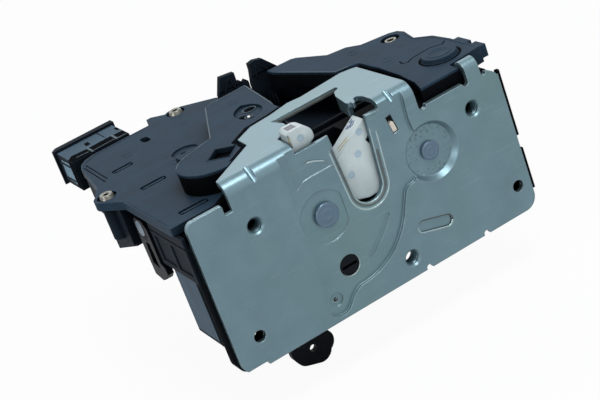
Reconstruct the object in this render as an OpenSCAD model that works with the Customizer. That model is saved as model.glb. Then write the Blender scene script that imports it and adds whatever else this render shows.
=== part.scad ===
// Side door lock of a car: latch with fork bolt and pawl behind a bent steel face plate,
// and an actuator housing at right angles to it. Sizes in millimetres.
// Drawn with the plate's left bottom corner at 0, then moved so that the origin is the
// axis of the seated striker bar in the outer face of the plate.
// X runs along the plate, Y into the door, Z up to the cabin side where the striker enters.
// The latch is drawn open, with the pawl lifted clear of the fork bolt.

/* [Face plate] */
// Length of the face plate
plate_w = 125; // [115:0.5:140]
// Height of the face plate at its upper left edge
plate_h = 59.1; // [57:0.1:62]
// Height of the face plate at its upper right edge
plate_h_right = 55.4; // [53:0.1:57]
// Thickness of the sheet
sheet = 2; // [1.5:0.1:2.5]
// Radius of the plate's lower corners
plate_r = 5; // [3:0.5:7]
// Outer radius of the bend to the flange
bend_r = 5; // [4:0.5:6]
// Height of the flange's outer surface
flange_z = 65.3; // [62:0.1:68]
// Left edge of the flange at the bend
flange_x0 = 17; // [15:0.5:19]
// Right edge of the flange
flange_x1 = 92; // [90:0.5:94]
// Depth of the flange
flange_y = 36.5; // [34:0.5:39]
// Depth of the pressed recess in the plate
recess = 1.2; // [0.8:0.1:1.6]
// Radius of the tapped fixing holes, minor diameter of an M6 thread
tap_r = 2.5; // [2:0.1:3.4]
// Length of the tapped collars
tap_l = 6; // [5:0.5:8]
// Radius of the two locating holes
locate_r = 2.2; // [1.6:0.1:2.8]
// Radius of the access hole of the lock knob
access_r = 3.9; // [3.4:0.05:4.2]
// Depth of the round recess behind the pawl's pin, below the large recess
pawl_dip = 0.8; // [0.5:0.1:1]
// Outer radius of the round recess
pawl_ring_r = 10.7; // [10.2:0.1:11]

/* [Striker mouth] */
// Middle of the slot
slot_x = 64.5; // [63:0.5:66]
// Height of the centre of the slot's round end
slot_z = 38.5; // [37:0.5:40]
// Width of the slot at its round end
slot_w = 11.2; // [10.6:0.1:11.6]
// Lean of each side of the slot, in degrees
slot_taper = 4.5; // [3:0.5:5]
// Radius of the dished edge round the slot
dish_r = 8.3; // [7.8:0.1:8.6]
// Depth of the dished edge
dish_d = 1.2; // [0.8:0.1:1.4]
// Left edge of the opening in the flange
mouth_x0 = 44.4; // [43.5:0.1:44.6]
// Right edge of the opening in the flange
mouth_x1 = 78.2; // [77.6:0.1:79]
// Back edge of the opening in the flange
mouth_y = 28.3; // [27.5:0.1:29]
// Height of the seated striker bar
seat_z = 42.2; // [41:0.1:43]

/* [Fork bolt] */
// Pivot of the fork bolt along the plate
fork_x = 47.6; // [47:0.1:48.2]
// Pivot of the fork bolt above the plate's lower edge
fork_z = 37.3; // [37:0.1:37.8]
// Radius of the fork bolt's pivot pin
fork_pin_r = 3.5; // [3:0.1:4]
// Head radius of the fork bolt's pivot pin
fork_head_r = 4.4; // [4.2:0.1:5]
// Front face of the fork bolt
fork_y = 3.8; // [3.5:0.1:4.2]
// Thickness of the plastic jacket front to back
jacket_t = 7; // [6.4:0.1:9]
// Thickness of the steel core
core_t = 4; // [3:0.5:5]
// Width of the fork's mouth
fork_mouth = 12.4; // [12:0.1:12.8]
// Turn of the fork bolt from open to closed, in degrees
fork_turn = 59; // [57:1:60]
// Radius of the fork bolt's outer tooth
tooth_r = 34.3; // [33:0.1:34.6]

/* [Pawl] */
// Pivot of the pawl along the plate
pawl_x = 91.7; // [91.5:0.1:92.2]
// Pivot of the pawl above the plate's lower edge
pawl_z = 39; // [38.6:0.1:39.4]
// Radius of the pawl's pivot pin
pawl_pin_r = 3; // [2.5:0.1:3.2]
// Head radius of the pawl's pivot pin
pawl_head_r = 3.35; // [3.3:0.05:4.5]
// Radius of the pawl's hub
pawl_hub_r = 7.5; // [6:0.1:7.6]
// Turn of the pawl from lifted to engaged, in degrees
pawl_turn = 17.5; // [15:0.5:17.5]

/* [Housings] */
// Amount that the latch housing stands past the plate's ends
rim = 0.6; // [0.2:0.1:1]
// Wall of the plastic housings
wall = 2; // [1.6:0.1:2.4]
// Depth of the latch housing behind the plate
latch_y = 28; // [27.5:0.5:30]
// Height of the latch housing
latch_z = 53.5; // [52:0.1:53.8]
// Lower side of the latch housing behind its rim
latch_z0 = 8.5; // [7:0.5:9]
// Lower side of the actuator housing
tray_z0 = 39.5; // [38.5:0.5:41]
// Upper side of the left cover
cover_z = 57.3; // [57:0.1:58]
// Thickness of the covers
cover_t = 3.2; // [2.6:0.1:3.4]
// Height of the raised part of the left cover
raised_z = 65; // [64.4:0.1:65.3]
// Upper side of the right cover
right_z = 60.3; // [59.6:0.1:60.8]
// Radius of the round boss over the key cam
boss_r = 13.2; // [12.8:0.1:13.6]
// Side of the square hole in the boss
key_hole = 8; // [7:0.1:8.6]
// Gap between the covers and the steel flange
flange_gap = 1.3; // [0.9:0.1:1.6]
// Head radius of the housing screws
screw_head_r = 3.1; // [2.6:0.1:3.4]
// Radius of the housing screws
screw_r = 1.5; // [1.2:0.1:1.8]

/* [Connector] */
// Width of the connector shroud
plug_w = 25; // [22:0.5:27]
// Height of the connector shroud
plug_h = 12; // [11:0.5:13]
// Length of the connector shroud
plug_l = 21; // [19:0.5:23]
// Wall of the connector shroud
plug_wall = 1.6; // [1.2:0.1:2]

/* [Levers] */
// Pivot of the outside release lever along the plate
rel_x = 60; // [59:0.5:61]
// Pivot of the outside release lever above the plate's lower edge
rel_z = 16; // [15.5:0.5:17]
// Radius of the release lever's pivot pin
rel_pin_r = 2.5; // [2:0.1:3]
// Thickness of the release lever
rel_t = 2.5; // [2:0.1:3]
// Radius of the hole for the handle rod
rod_r = 1.4; // [1:0.1:2]
// Radius of the lock knob's shaft
knob_r = 2.4; // [2:0.1:2.5]
// Thickness of the cable lever
cable_t = 2.4; // [2:0.1:2.6]
// Radius of the cable lever's pivot pin
cable_pin_r = 2; // [1.6:0.1:2.5]

/* [Actuator] */
// Radius of the motor
motor_r = 6; // [5:0.1:6.2]
// Length of the motor
motor_l = 22; // [20:0.5:23]
// Radius of the worm
worm_r = 3; // [2.5:0.1:3.2]
// Radius of the worm wheel
wheel_r = 10.8; // [10:0.1:11]
// Teeth of the worm wheel
wheel_teeth = 30; // [24:1:36]

/* [Fits] */
// Radial running clearance of pivots
run = 0.08; // [0.04:0.01:0.12]
// Gap between faces of pieces that move past each other
gap = 0.4; // [0.3:0.05:0.6]

/* [Hidden] */
$fn = 64;
e = 0.05;
back_t = 2;
mid_y = 15;
shift = [-slot_x, 0, -seat_z];
head_t = 1.3;
core_y = fork_y + 1.5;
u_dir = 33;
hole_x = slot_x + 1.1;
dish_x = slot_x + 0.2;
knob_x = 49.3;
knob_z = 16.4;
fix_pts = [[22.4, 47], [111.6, 45.5], [71.8, 7]];
dimple = [40.4, 7.4];
ring_y = recess + pawl_dip;
pocket_y = 26;
rel_y = 20;
cable_y = 41;
cable_z = 48.5;
plug_x = 14;
plug_z = 50.5;
plug_y = 108.5;
worm_x = 14;
worm_z = 46.8;
wheel_y = 62;
wheel_x = worm_x + worm_r + gap + wheel_r;
key_x = 29.5;
key_y = 25;

// An upright slab between two depths, drawn as seen from the front
module slab(y0, y1) {
    translate([0, y1, 0])
        rotate([90, 0, 0])
            linear_extrude(height = y1 - y0)
                children();
}

// A level layer between two heights, drawn in plan
module tier(z0, z1) {
    translate([0, 0, z0])
        linear_extrude(height = z1 - z0)
            children();
}

// A plain cylinder along Y
module rod_y(x, z, y0, y1, r) {
    translate([x, y0, z])
        rotate([-90, 0, 0])
            cylinder(h = y1 - y0, r = r);
}

// A plain cylinder along X
module rod_x(y, z, x0, x1, r) {
    translate([x0, y, z])
        rotate([0, 90, 0])
            cylinder(h = x1 - x0, r = r);
}

// Rectangle with round corners, from low corner to high corner
module round_rect(a, b, r) {
    translate([a[0] + r, a[1]])
        square([b[0] - a[0] - 2 * r, b[1] - a[1]]);
    translate([a[0], a[1] + r])
        square([b[0] - a[0], b[1] - a[1] - 2 * r]);
    for (x = [a[0] + r, b[0] - r], y = [a[1] + r, b[1] - r])
        translate([x, y])
            circle(r = r);
}

// Bar with round ends between two points
module bar(p, q, r) {
    d = q - p;
    l = norm(d);
    translate(p)
        rotate(atan2(d[1], d[0])) {
            translate([0, -r])
                square([l, 2 * r]);
            circle(r = r);
            translate([l, 0])
                circle(r = r);
        }
}

// Outline of the upright sheet
module plate_outline() {
    top = flange_z - bend_r;
    difference() {
        union() {
            round_rect([0, 0], [plate_w, plate_h_right], plate_r);
            square_from(4, plate_h_right - 12, 14, plate_h);
            square_from(0, 20, 4, plate_h - 3);
            translate([3, plate_h - 3])
                circle(r = 3);
            square_from(0, plate_h_right - 12, 8, plate_h - 3);
            square_from(plate_w - 12, 30, plate_w, plate_h_right - 3);
            square_from(flange_x0, 20, flange_x1, top);
            square_from(flange_x1 - 1, 30, plate_w - 12, plate_h_right);
        }
        translate([76.9, 0.4])
            circle(r = 1.3);
        translate([102.2, 0.4])
            circle(r = 1.3);
        square_from(-1, -1, 9.5, 1.4);
        translate([flange_x0 - 1.6, plate_h + 0.2])
            circle(r = 1.6);
        translate([flange_x1 + 1.6, plate_h_right + 0.4])
            circle(r = 1.6);
        translate([111.8, plate_h_right])
            circle(r = 1.3);
        translate([119.6, plate_h_right])
            circle(r = 1);
    }
}

module square_from(x0, y0, x1, y1) {
    translate([x0, y0])
        square([x1 - x0, y1 - y0]);
}

// Outline of the pressed recess round the two pivots, which runs up into the bend
module recess_outline() {
    polygon([[37.8, flange_z], [37.8, 49.6], [37.3, 39.1], [37.6, 21.2], [36.7, 13.7], [36, 10],
             [35.7, 5.4], [36.6, 3.2], [39.2, 1.8], [41.6, 1.6], [43.6, 2.5], [46.5, 5.7],
             [48.3, 7.1], [50.3, 8], [54.2, 8.2], [58.8, 9.2], [62.9, 11], [66.3, 13.2],
             [69.5, 16.2], [71.8, 18.9], [74.2, 22.9], [76.4, 27.7], [78, 30.8], [79.6, 31.9],
             [81.9, 32.2], [91.7, 39], [87.6, 49.2], [87.2, 53.9], [87.5, 57.7],
             [88.2, flange_z]]);
}

// Outline of the striker slot, whose sides lean apart upwards
module slot_shape(x, r) {
    translate([x, slot_z]) {
        circle(r = r);
        for (s = [0, 1])
            mirror([s, 0])
                rotate(-slot_taper)
                    translate([-r / 2, 0])
                        square([1.5 * r, flange_z + 4 - slot_z]);
    }
}

// Dished edge of the slot: a cone round its lower end and a slope at each side
module slot_dish() {
    r1 = dish_r - 3 * dish_d;
    translate([dish_x, 0, slot_z]) {
        translate([0, recess, 0])
            rotate([-90, 0, 0])
                cylinder(h = dish_d, r1 = dish_r, r2 = r1);
        for (s = [0, 1])
            mirror([s, 0, 0])
                rotate([0, slot_taper, 0])
                    linear_extrude(height = flange_z + 4 - slot_z)
                        polygon([[-3, -1], [dish_r, -1], [dish_r, recess],
                                 [r1, recess + dish_d], [-3, recess + dish_d]]);
    }
}

// Floor above the step that crosses the recess beside the slot
module step_outline() {
    polygon([[40.8, 50.1], [43.9, 51.9], [47.6, 52.2], [60, 52.1], [60, flange_z],
             [41.2, flange_z]]);
}

// Bend between the upright sheet and the flange
module bend() {
    top = flange_z - bend_r;
    difference() {
        intersection() {
            rod_x(bend_r, top, 0, plate_w, bend_r);
            translate([flange_x0, 0, top])
                cube([flange_x1 - flange_x0, bend_r, bend_r]);
        }
        rod_x(bend_r, top, 0, plate_w, bend_r - sheet);
    }
}

// Pressed dart across the bend
module dart(x) {
    m = bend_r * cos(45) - 0.1;
    translate([x, bend_r - m, flange_z - bend_r + m])
        rotate([-45, 0, 0])
            cylinder(h = 14, r = 1.1, center = true);
}

module face_plate() {
    inner = bend_r - sheet;
    deep = bend_r - recess - sheet;
    recess_top = flange_z - bend_r + sqrt(inner * inner - deep * deep);
    color("#7c9096")
    translate(shift)
        difference() {
            union() {
                slab(0, sheet)
                    plate_outline();
                slab(recess, recess + sheet)
                    intersection() {
                        recess_outline();
                        square_from(30, 0, 95, recess_top);
                    }
                rod_y(pawl_x, pawl_z, sheet - e, recess + sheet, pawl_ring_r + 0.2);
                rod_y(pawl_x, pawl_z, recess, ring_y + sheet, pawl_ring_r - 1.3);
                slab(recess + e, fork_y - gap)
                    intersection() {
                        slot_shape(hole_x, slot_w / 2 + 2.4);
                        square_from(50, 0, 80, flange_z - bend_r);
                    }
                bend();
                tier(flange_z - sheet, flange_z)
                    flange_outline(0);
                flange_lip();
                for (p = fix_pts)
                    rod_y(p[0], p[1], sheet - e, tap_l, tap_r + 2);
                rod_y(knob_x, knob_z, sheet, recess + sheet + 0.3, access_r + 1.1);
                curled_tab();
            }
            slab(-1, recess)
                recess_outline();
            translate([pawl_x, 0, pawl_z])
                rotate([-90, 0, 0])
                    cylinder(h = ring_y, r1 = pawl_ring_r, r2 = pawl_ring_r - 1.5);
            slab(-1, recess + 0.35)
                step_outline();
            slab(-1, recess + 0.5)
                difference() {
                    translate([fork_x - 0.5, fork_z - 0.6])
                        circle(r = 9.4);
                    square_from(fork_x + 7.4, 0, 90, 90);
                }
            slot_dish();
            slab(-1, 10)
                slot_shape(hole_x, slot_w / 2);
            mouth_cut();
            dart(27.7);
            dart(83.6);
            for (p = fix_pts) {
                rod_y(p[0], p[1], -1, tap_l + 1, tap_r);
                translate([p[0], -e, p[1]])
                    rotate([-90, 0, 0])
                        cylinder(h = 0.8, r1 = tap_r + 0.8, r2 = tap_r);
            }
            rod_y(9.8, 11, -1, 5, locate_r);
            rod_y(119.5, 10.4, -1, 5, locate_r);
            rod_y(knob_x, knob_z, -1, 8, access_r);
            rod_y(dimple[0], dimple[1], -1, recess + 0.7, 2.5);
            rod_y(dimple[0], dimple[1], -1, 8, 0.8);
            rod_y(fork_x, fork_z, -1, 8, fork_pin_r);
            rod_y(pawl_x, pawl_z, -1, 8, pawl_pin_r);
            slab(-1, 8)
                translate([81.3, 54.6])
                    rotate(10)
                        square([2.3, 6.8], center = true);
            slab(-1, 0.9)
                bar([79.6, 15.4], [88.9, 12.8], 2.5);
            slab(-1, recess + 0.5)
                arc_groove();
        }
}

// Curved groove from the foot of the recess towards the slot, with a round upper end
module arc_groove() {
    c = [30.7, 55.1];
    m = 48;
    w = 0.9;
    a0 = -56.2;
    a1 = -37.6;
    intersection() {
        difference() {
            translate(c)
                circle(r = m + w);
            translate(c)
                circle(r = m - w);
        }
        polygon([c, c + polar(m + 12, a0), c + polar(m + 12, a1)]);
    }
    translate(c + polar(m, a1))
        circle(r = w);
}

// Plan of the flange, grown by g
module flange_outline(g) {
    polygon([[flange_x0 - g, bend_r - e], [flange_x0 - g, bend_r + 0.3 * g],
             [37 - 0.8 * g, 20 + 0.6 * g], [37.5 - g, 28 + 0.4 * g],
             [45.2 - 0.5 * g, flange_y - 3.5 + g], [54, flange_y - 2.4 + g], [62.5, flange_y + g],
             [67.5, flange_y - 0.9 + g], [flange_x1 - 6.1, flange_y + 1.3 + g],
             [flange_x1 - 2.4 + 0.5 * g, flange_y + 0.1 + g],
             [flange_x1 - 0.4 + g, flange_y - 0.9 + 0.5 * g], [flange_x1 + g, bend_r - e]]);
}

// Opening for the striker through the bend and the flange
module mouth_cut() {
    a = mouth_x0;
    b = mouth_x1;
    tier(flange_z - bend_r + 1.5, flange_z + 1)
        polygon([[a, -1], [a + 0.3, 5.7], [a + 0.2, 11.6], [a + 7.7, 17.9], [a + 8.3, 21.9],
                 [a + 6.5, mouth_y], [b - 0.1, mouth_y], [b - 0.1, mouth_y - 2.1],
                 [b - 2.7, mouth_y - 3.6], [b - 4.4, mouth_y - 7.3], [b - 6.1, 11.3],
                 [b - 5.5, 7.6], [b - 4, 8.2], [b - 2.5, 11.8], [b - 1.1, 12.1], [b - 0.1, 9.5],
                 [b, 3.1], [b + 0.3, -1]]);
}

// Turned-down edge at the right of the opening
module flange_lip() {
    b = mouth_x1;
    tier(flange_z - 5.5, flange_z - sheet + e)
        polygon([[b - 0.1, mouth_y - 2.1], [b - 2.7, mouth_y - 3.6], [b - 4.4, mouth_y - 7.3],
                 [b - 6.1, 11.3], [b - 4.1, 11.3], [b - 2.4, mouth_y - 7.3], [b - 1.3, mouth_y - 5],
                 [b + 1, mouth_y - 3.6]]);
}

// Curled tab at the upper right edge
module curled_tab() {
    z = plate_h_right + 3.4;
    slab(0, sheet)
        square_from(113, plate_h_right - 3, 118.6, z);
    intersection() {
        difference() {
            rod_x(3.2, z, 113, 118.6, 3.2);
            rod_x(3.2, z, 110, 120, 3.2 - sheet);
        }
        translate([110, -1, z])
            cube([10, 8, 8]);
    }
}

module fork_pin() {
    color("#6f7d8c")
    translate(shift) {
        rod_y(fork_x, fork_z, recess + 0.5, latch_y + back_t + 0.6, fork_pin_r - 0.02);
        rod_y(fork_x, fork_z, recess + 0.5 - head_t, recess + 0.5, fork_head_r);
        rod_y(fork_x, fork_z, latch_y + back_t, latch_y + back_t + 1, fork_pin_r + 0.8);
    }
}

module pawl_pin() {
    color("#6f7d8c")
    translate(shift) {
        rod_y(pawl_x, pawl_z, ring_y, latch_y + back_t + 0.6, pawl_pin_r - 0.02);
        rod_y(pawl_x, pawl_z, ring_y - 1, ring_y, pawl_head_r);
        rod_y(pawl_x, pawl_z, latch_y + back_t, latch_y + back_t + 1, pawl_pin_r + 0.8);
    }
}

module release_pin() {
    color("#6f7d8c")
    translate(shift) {
        rod_y(rel_x, rel_z, mid_y + wall, latch_y + back_t + 0.6, rel_pin_r - 0.02);
        rod_y(rel_x, rel_z, latch_y + back_t, latch_y + back_t + 1, rel_pin_r + 0.8);
    }
}

module latch_housing() {
    y0 = sheet + 0.1;
    color("#1c1f22")
    translate(shift)
        difference() {
            union() {
                slab(y0, 8)
                    round_rect([-rim, 0.4], [plate_w + rim, latch_z], 4);
                slab(8 - e, latch_y)
                    round_rect([-rim, latch_z0], [plate_w + rim, latch_z], 2);
            }
            slab(y0 - 1, mid_y)
                mechanism_outline();
            slab(y0 - 1, recess + sheet + 0.3)
                square_from(34, 0.9, 103, 90);
            slab(mid_y + wall, latch_y + 1)
                difference() {
                    square_from(wall - rim, latch_z0 + wall, plate_w + rim - wall, latch_z - wall);
                    pocket_walls();
                }
            slab(mid_y - 1, pocket_y)
                pocket_outline();
            for (p = fix_pts)
                rod_y(p[0], p[1], y0 - 1, tap_l + 9, tap_r + 2 + gap);
            rod_y(9.8, 11, y0 - 1, 12, locate_r + 0.8);
            rod_y(119.5, 10.4, y0 - 1, 12, locate_r + 0.8);
            rod_y(knob_x, knob_z, y0 - 1, latch_y, knob_r + run);
            rod_y(dimple[0], dimple[1], y0 - 1, 6, 1.6);
            rod_y(fork_x, fork_z, y0 - 1, latch_y, fork_pin_r);
            rod_y(pawl_x, pawl_z, y0 - 1, latch_y, pawl_pin_r);
            slab(mid_y - 1, mid_y + wall + 1)
                round_rect([pawl_x + 7.3, pawl_z - 11], [pawl_x + 16.8, pawl_z + 3], 2);
            translate([40, rel_y - 1.5, latch_z0 - 1])
                cube([26, rel_t + 3, wall + 2]);
            translate([key_x, key_y, latch_z - wall - 1])
                cylinder(h = 5, r = 4 + run);
        }
}

// Space in which the fork bolt and the pawl move
module mechanism_outline() {
    translate([fork_x, fork_z])
        circle(r = 36.4);
    square_from(fork_x + 20, 14, pawl_x + 17.3, latch_z - wall);
    square_from(mouth_x0 - 1, 30, mouth_x1 + 1, 90);
}

// Pocket for the striker's loop
module pocket_outline() {
    square_from(slot_x - 7, slot_z - 1, slot_x + 7, 90);
    translate([slot_x, slot_z - 1])
        circle(r = 7);
}

module pocket_walls() {
    square_from(slot_x - 7 - wall, slot_z - 1, slot_x + 7 + wall, 90);
    translate([slot_x, slot_z - 1])
        circle(r = 7 + wall);
}

module back_plate() {
    color("#8b979c")
    translate(shift)
        difference() {
            slab(latch_y, latch_y + back_t)
                round_rect([3, latch_z0 + 1], [plate_w - 3, latch_z - wall - 0.2], 4);
            rod_y(fork_x, fork_z, 20, 40, fork_pin_r);
            rod_y(pawl_x, pawl_z, 20, 40, pawl_pin_r);
            rod_y(rel_x, rel_z, 20, 40, rel_pin_r);
        }
}

module bump_stop() {
    color("#2b2b2b")
    translate(shift)
        slab(mid_y + wall + 1, pocket_y - 1)
            difference() {
                translate([slot_x, slot_z - 1])
                    circle(r = 6.95);
                square_from(slot_x - 9, slot_z - 4.5, slot_x + 9, 90);
            }
}

// Point on the fork at a distance along the mouth and across it
function seat_a() = atan2(seat_z - fork_z, slot_x - fork_x) + fork_turn;
function seat_d() = norm([slot_x - fork_x, seat_z - fork_z]);
function mouth_pt(t, s) = [seat_d() * cos(seat_a()) + t * cos(u_dir) - s * sin(u_dir),
                           seat_d() * sin(seat_a()) + t * sin(u_dir) + s * cos(u_dir)];
function polar(r, a) = [r * cos(a), r * sin(a)];

// Mouth of the fork, open at its outer end
module fork_mouth_outline(m) {
    p = mouth_pt(0, 0);
    translate(p)
        rotate(u_dir) {
            circle(r = fork_mouth / 2 + m);
            translate([0, -fork_mouth / 2 - m])
                square([60, fork_mouth + 2 * m]);
        }
}

// Lower jaw and toothed rim of the steel core
module core_outline() {
    difference() {
        polygon([[0, 0], polar(24, -4), polar(tooth_r + 3, 9), polar(tooth_r + 3, 24.5),
                 polar(30.6, 25.2), polar(tooth_r + 3, 38), mouth_pt(30, 0), mouth_pt(0, 0)]);
        difference() {
            circle(r = 60);
            circle(r = tooth_r);
        }
    }
}

// Upper jaw
module hook_outline() {
    polygon([[-5, -3], [-9.4, 4.5], [-9.4, 14], [-5.6, 22], [-1.9, 25.8], [-1.9, 30.4],
             [-0.9, 31.4], [2.5, 31.4], [3.4, 28], [2.6, 16], [2.6, 1.5]]);
}

// Solid of the steel core about its pivot, before the bore is cut
module core_solid() {
    y1 = core_y + core_t;
    difference() {
        union() {
            slab(core_y, y1)
                core_outline();
            rod_y(0, 0, core_y, y1, 9.5);
            slab(core_y, y1)
                polygon([[13.8, -1.6], [18.3, -3.1], [22.5, -3], [24.2, -1], polar(24, 8),
                         [2, 9], [2, 3]]);
            slab(core_y, y1)
                hook_outline();
            rod_y(2.5, 27.2, core_y, y1, 3.4);
        }
        slab(core_y - 1, y1 + 1)
            fork_mouth_outline(1.2);
    }
}

module fork_core() {
    color("#59626b")
    translate(shift)
        translate([fork_x, 0, fork_z])
            difference() {
                core_solid();
                rod_y(0, 0, core_y - 1, core_y + core_t + 1, fork_pin_r + run);
            }
}

// Plastic round the lower jaw, with its shoulder at the tooth
module jacket_rim() {
    intersection() {
        polygon([[0, 0], polar(28, -5), polar(40, 10), polar(40, 38), mouth_pt(30, 0),
                 mouth_pt(0, 0)]);
        union() {
            circle(r = 28.4);
            polygon([polar(26, 33.5), polar(tooth_r - 0.6, 34), polar(tooth_r, 38),
                     polar(tooth_r, 46), polar(26, 56), polar(20, 46)]);
        }
    }
}

module fork_jacket() {
    y1 = fork_y + jacket_t;
    color("#e4e8ea")
    translate(shift)
        translate([fork_x, 0, fork_z])
            difference() {
                union() {
                    slab(fork_y, y1)
                        jacket_rim();
                    rod_y(0, 0, fork_y, y1, 9.9);
                    slab(fork_y, y1)
                        polygon([[13.4, -2.2], [18.3, -3.6], [22.5, -3.5], [24.6, -1.2],
                                 polar(25, 8), [2, 9.4], [2, 3]]);
                    slab(fork_y, y1)
                        hook_outline();
                    rod_y(2.5, 27.2, fork_y, y1, 4.2);
                }
                slab(fork_y - 1, y1 + 1)
                    fork_mouth_outline(0);
                rod_y(0, 0, fork_y - 1, y1 + 1, fork_pin_r + run + 0.2);
                core_solid();
                for (p = [[17.6, 14.8], [14.6, 9.6], [9.6, 1.4], [3.2, 28]])
                    rod_y(p[0], p[1], 0, fork_y + 0.3, 1.2);
            }
}

// Coil of round wire, mean radius m, wire radius w, with n turns
module coil(m, w, n) {
    rotate_extrude()
        for (i = [0 : n - 1])
            translate([m, w + i * 1.7 * w])
                circle(r = w);
}

module fork_spring() {
    color("#a9adb0")
    translate(shift)
        translate([fork_x, mid_y + wall + 0.1, fork_z])
            rotate([-90, 0, 0]) {
                coil(fork_pin_r + 1.2, 0.9, 4);
                translate([fork_pin_r + 1.2, 0, 0.9])
                    rotate([90, 0, 0])
                        cylinder(h = 14, r = 0.9);
            }
}

module pawl_spring() {
    color("#a9adb0")
    translate(shift)
        translate([pawl_x, mid_y + wall + 0.1, pawl_z])
            rotate([-90, 180, 0]) {
                coil(pawl_pin_r + 1.1, 0.8, 4);
                translate([pawl_pin_r + 1.1, 0, 0.8])
                    rotate([90, 0, 0])
                        cylinder(h = 9, r = 0.8);
            }
}

// Pawl as it stands when engaged, about its pivot
module pawl_outline() {
    c = mouth_pt(0, 0);
    // tooth face on the closed fork, from the inner to the outer end
    a = catch_pt(16.4, gap / 2);
    b = catch_pt(21.8, gap / 2);
    difference() {
        union() {
            circle(r = pawl_hub_r);
            polygon([a, b, b + [2.6, 1.6], [2, -pawl_hub_r + 0.3], [-1, 0], [-pawl_hub_r + 0.6, 2.6]]);
            bar([0, 0], [11.8, -5.8], 3.2);
        }
        circle(r = pawl_pin_r + run);
    }
}

// Point on the catch face of the closed fork, seen from the pawl's pivot
function catch_pt(t, s) = [fork_x - pawl_x, fork_z - pawl_z]
    + turn(mouth_pt(t, -fork_mouth / 2 + s), -fork_turn);
function turn(p, a) = [p[0] * cos(a) - p[1] * sin(a), p[0] * sin(a) + p[1] * cos(a)];

module pawl() {
    color("#4d565e")
    translate(shift)
        translate([pawl_x, 0, pawl_z])
            rotate([0, -pawl_turn, 0]) {
                slab(core_y, core_y + core_t)
                    pawl_outline();
                rod_y(11.8, -5.8, core_y, rel_y + rel_t + 0.8, 1.5);
            }
}

module release_lever() {
    color("#202326")
    translate(shift)
        difference() {
            slab(rel_y, rel_y + rel_t)
                translate([rel_x, rel_z]) {
                    circle(r = 6);
                    bar([0, 0], polar(51, 7.2), 3);
                    bar([0, 0], [-20, -20], 4);
                    bar([-20, -20], [-27, -28], 5);
                    bar([-31, -29.4], [-23, -30.6], 4.6);
                    bar([-30, -31.4], [-25, -33], 4.6);
                }
            rod_y(rel_x, rel_z, 10, 40, rel_pin_r + run);
            rod_y(33, -14.7, 10, 40, rod_r);
        }
}

module lock_knob() {
    y1 = mid_y + wall + gap;
    color("#2a2d30")
    translate(shift)
        difference() {
            union() {
                rod_y(knob_x, knob_z, 1.2, fork_y - 0.3, access_r - 0.35);
                rod_y(knob_x, knob_z, 1.4, y1 + 2, knob_r);
                slab(y1, y1 + 2)
                    translate([knob_x, knob_z])
                        bar([0, 0], [-8, 0], 3.2);
            }
            translate([knob_x - 3, 0, knob_z - 0.6])
                cube([6, 2.4, 1.2]);
        }
}

// Cable lever seen from its side, in Y and Z
module cable_lever_outline() {
    difference() {
        polygon([[31.2, 35.2], [30.9, 32.6], [34.1, 30], [38.2, 28.3], [44.3, 29.3], [44.6, 34],
                 [44.9, 43], [44.6, 50.4], [42.8, 52.4], [36.8, 52.4], [33.8, 49.5],
                 [33.8, 36.4]]);
        translate([cable_y, cable_z])
            circle(r = cable_pin_r + run);
        polygon([[36.3, 33.6], [41.5, 34.6], [40.5, 43.4], [37.2, 43.4]]);
    }
}

module cable_lever() {
    x0 = -2.6;
    color("#2a3036")
    translate(shift)
        difference() {
            translate([x0, 0, 0])
                rotate([90, 0, 90])
                    linear_extrude(height = cable_t)
                        cable_lever_outline();
            rod_x(cable_y, cable_z, x0 - 1, x0 + 1.2, cable_pin_r + 1.3);
            // grooves that carry on from the sides of the slot
            for (p = [[36.6, 0.5], [39.6, -0.5]])
                translate([x0 - 1, p[0] + p[1], 44.4])
                    cube([1.4, 0.6, 6]);
        }
}

module cable_pin() {
    color("#8f979c")
    translate(shift) {
        rod_x(cable_y, cable_z, -2.6, 1.6, cable_pin_r - 0.02);
        rod_x(cable_y, cable_z, -2.6, -1.8, cable_pin_r + 1);
    }
}

// Plan of the left half of the actuator housing
module left_plan() {
    polygon([[1.5, 31], [1.5, 51], [-4, 51], [-4.2, 60], [-3, 68], [0.5, 90], [0.8, 95], [2.2, 99],
             [5, 102], [9, 103.5], [40, 103.5], [41, 106], [49, 106], [59.5, 96], [68, 96],
             [68, 31]]);
}

// Plan of the right half of the actuator housing
module right_plan() {
    polygon([[60, 31], [60, 96], [87.7, 96], [91.4, 85.5], [98.4, 71.5], [105.6, 69.6], [109.6, 64.6],
             [122, 61.6], [123.6, 58], [121.6, 47], [125.2, 40], [125.2, 31]]);
}

module wall_plan(g) {
    polygon([[1.5 + g, 31 + g], [1.5 + g, 53], [1.5 + g, 68], [2.6 + g, 90], [3 + g, 95 - g],
             [9 + g, 103.5 - g], [36, 103.5 - g], [56, 95.4 - g], [86, 95.4 - g], [89, 84 - g],
             [96.4, 69.6 - g], [104, 67.6 - g], [108, 62.6 - g], [116 - g, 56 - g],
             [119.4 - g, 45], [123 - g, 40], [123 - g, 31 + g]]);
}

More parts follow.
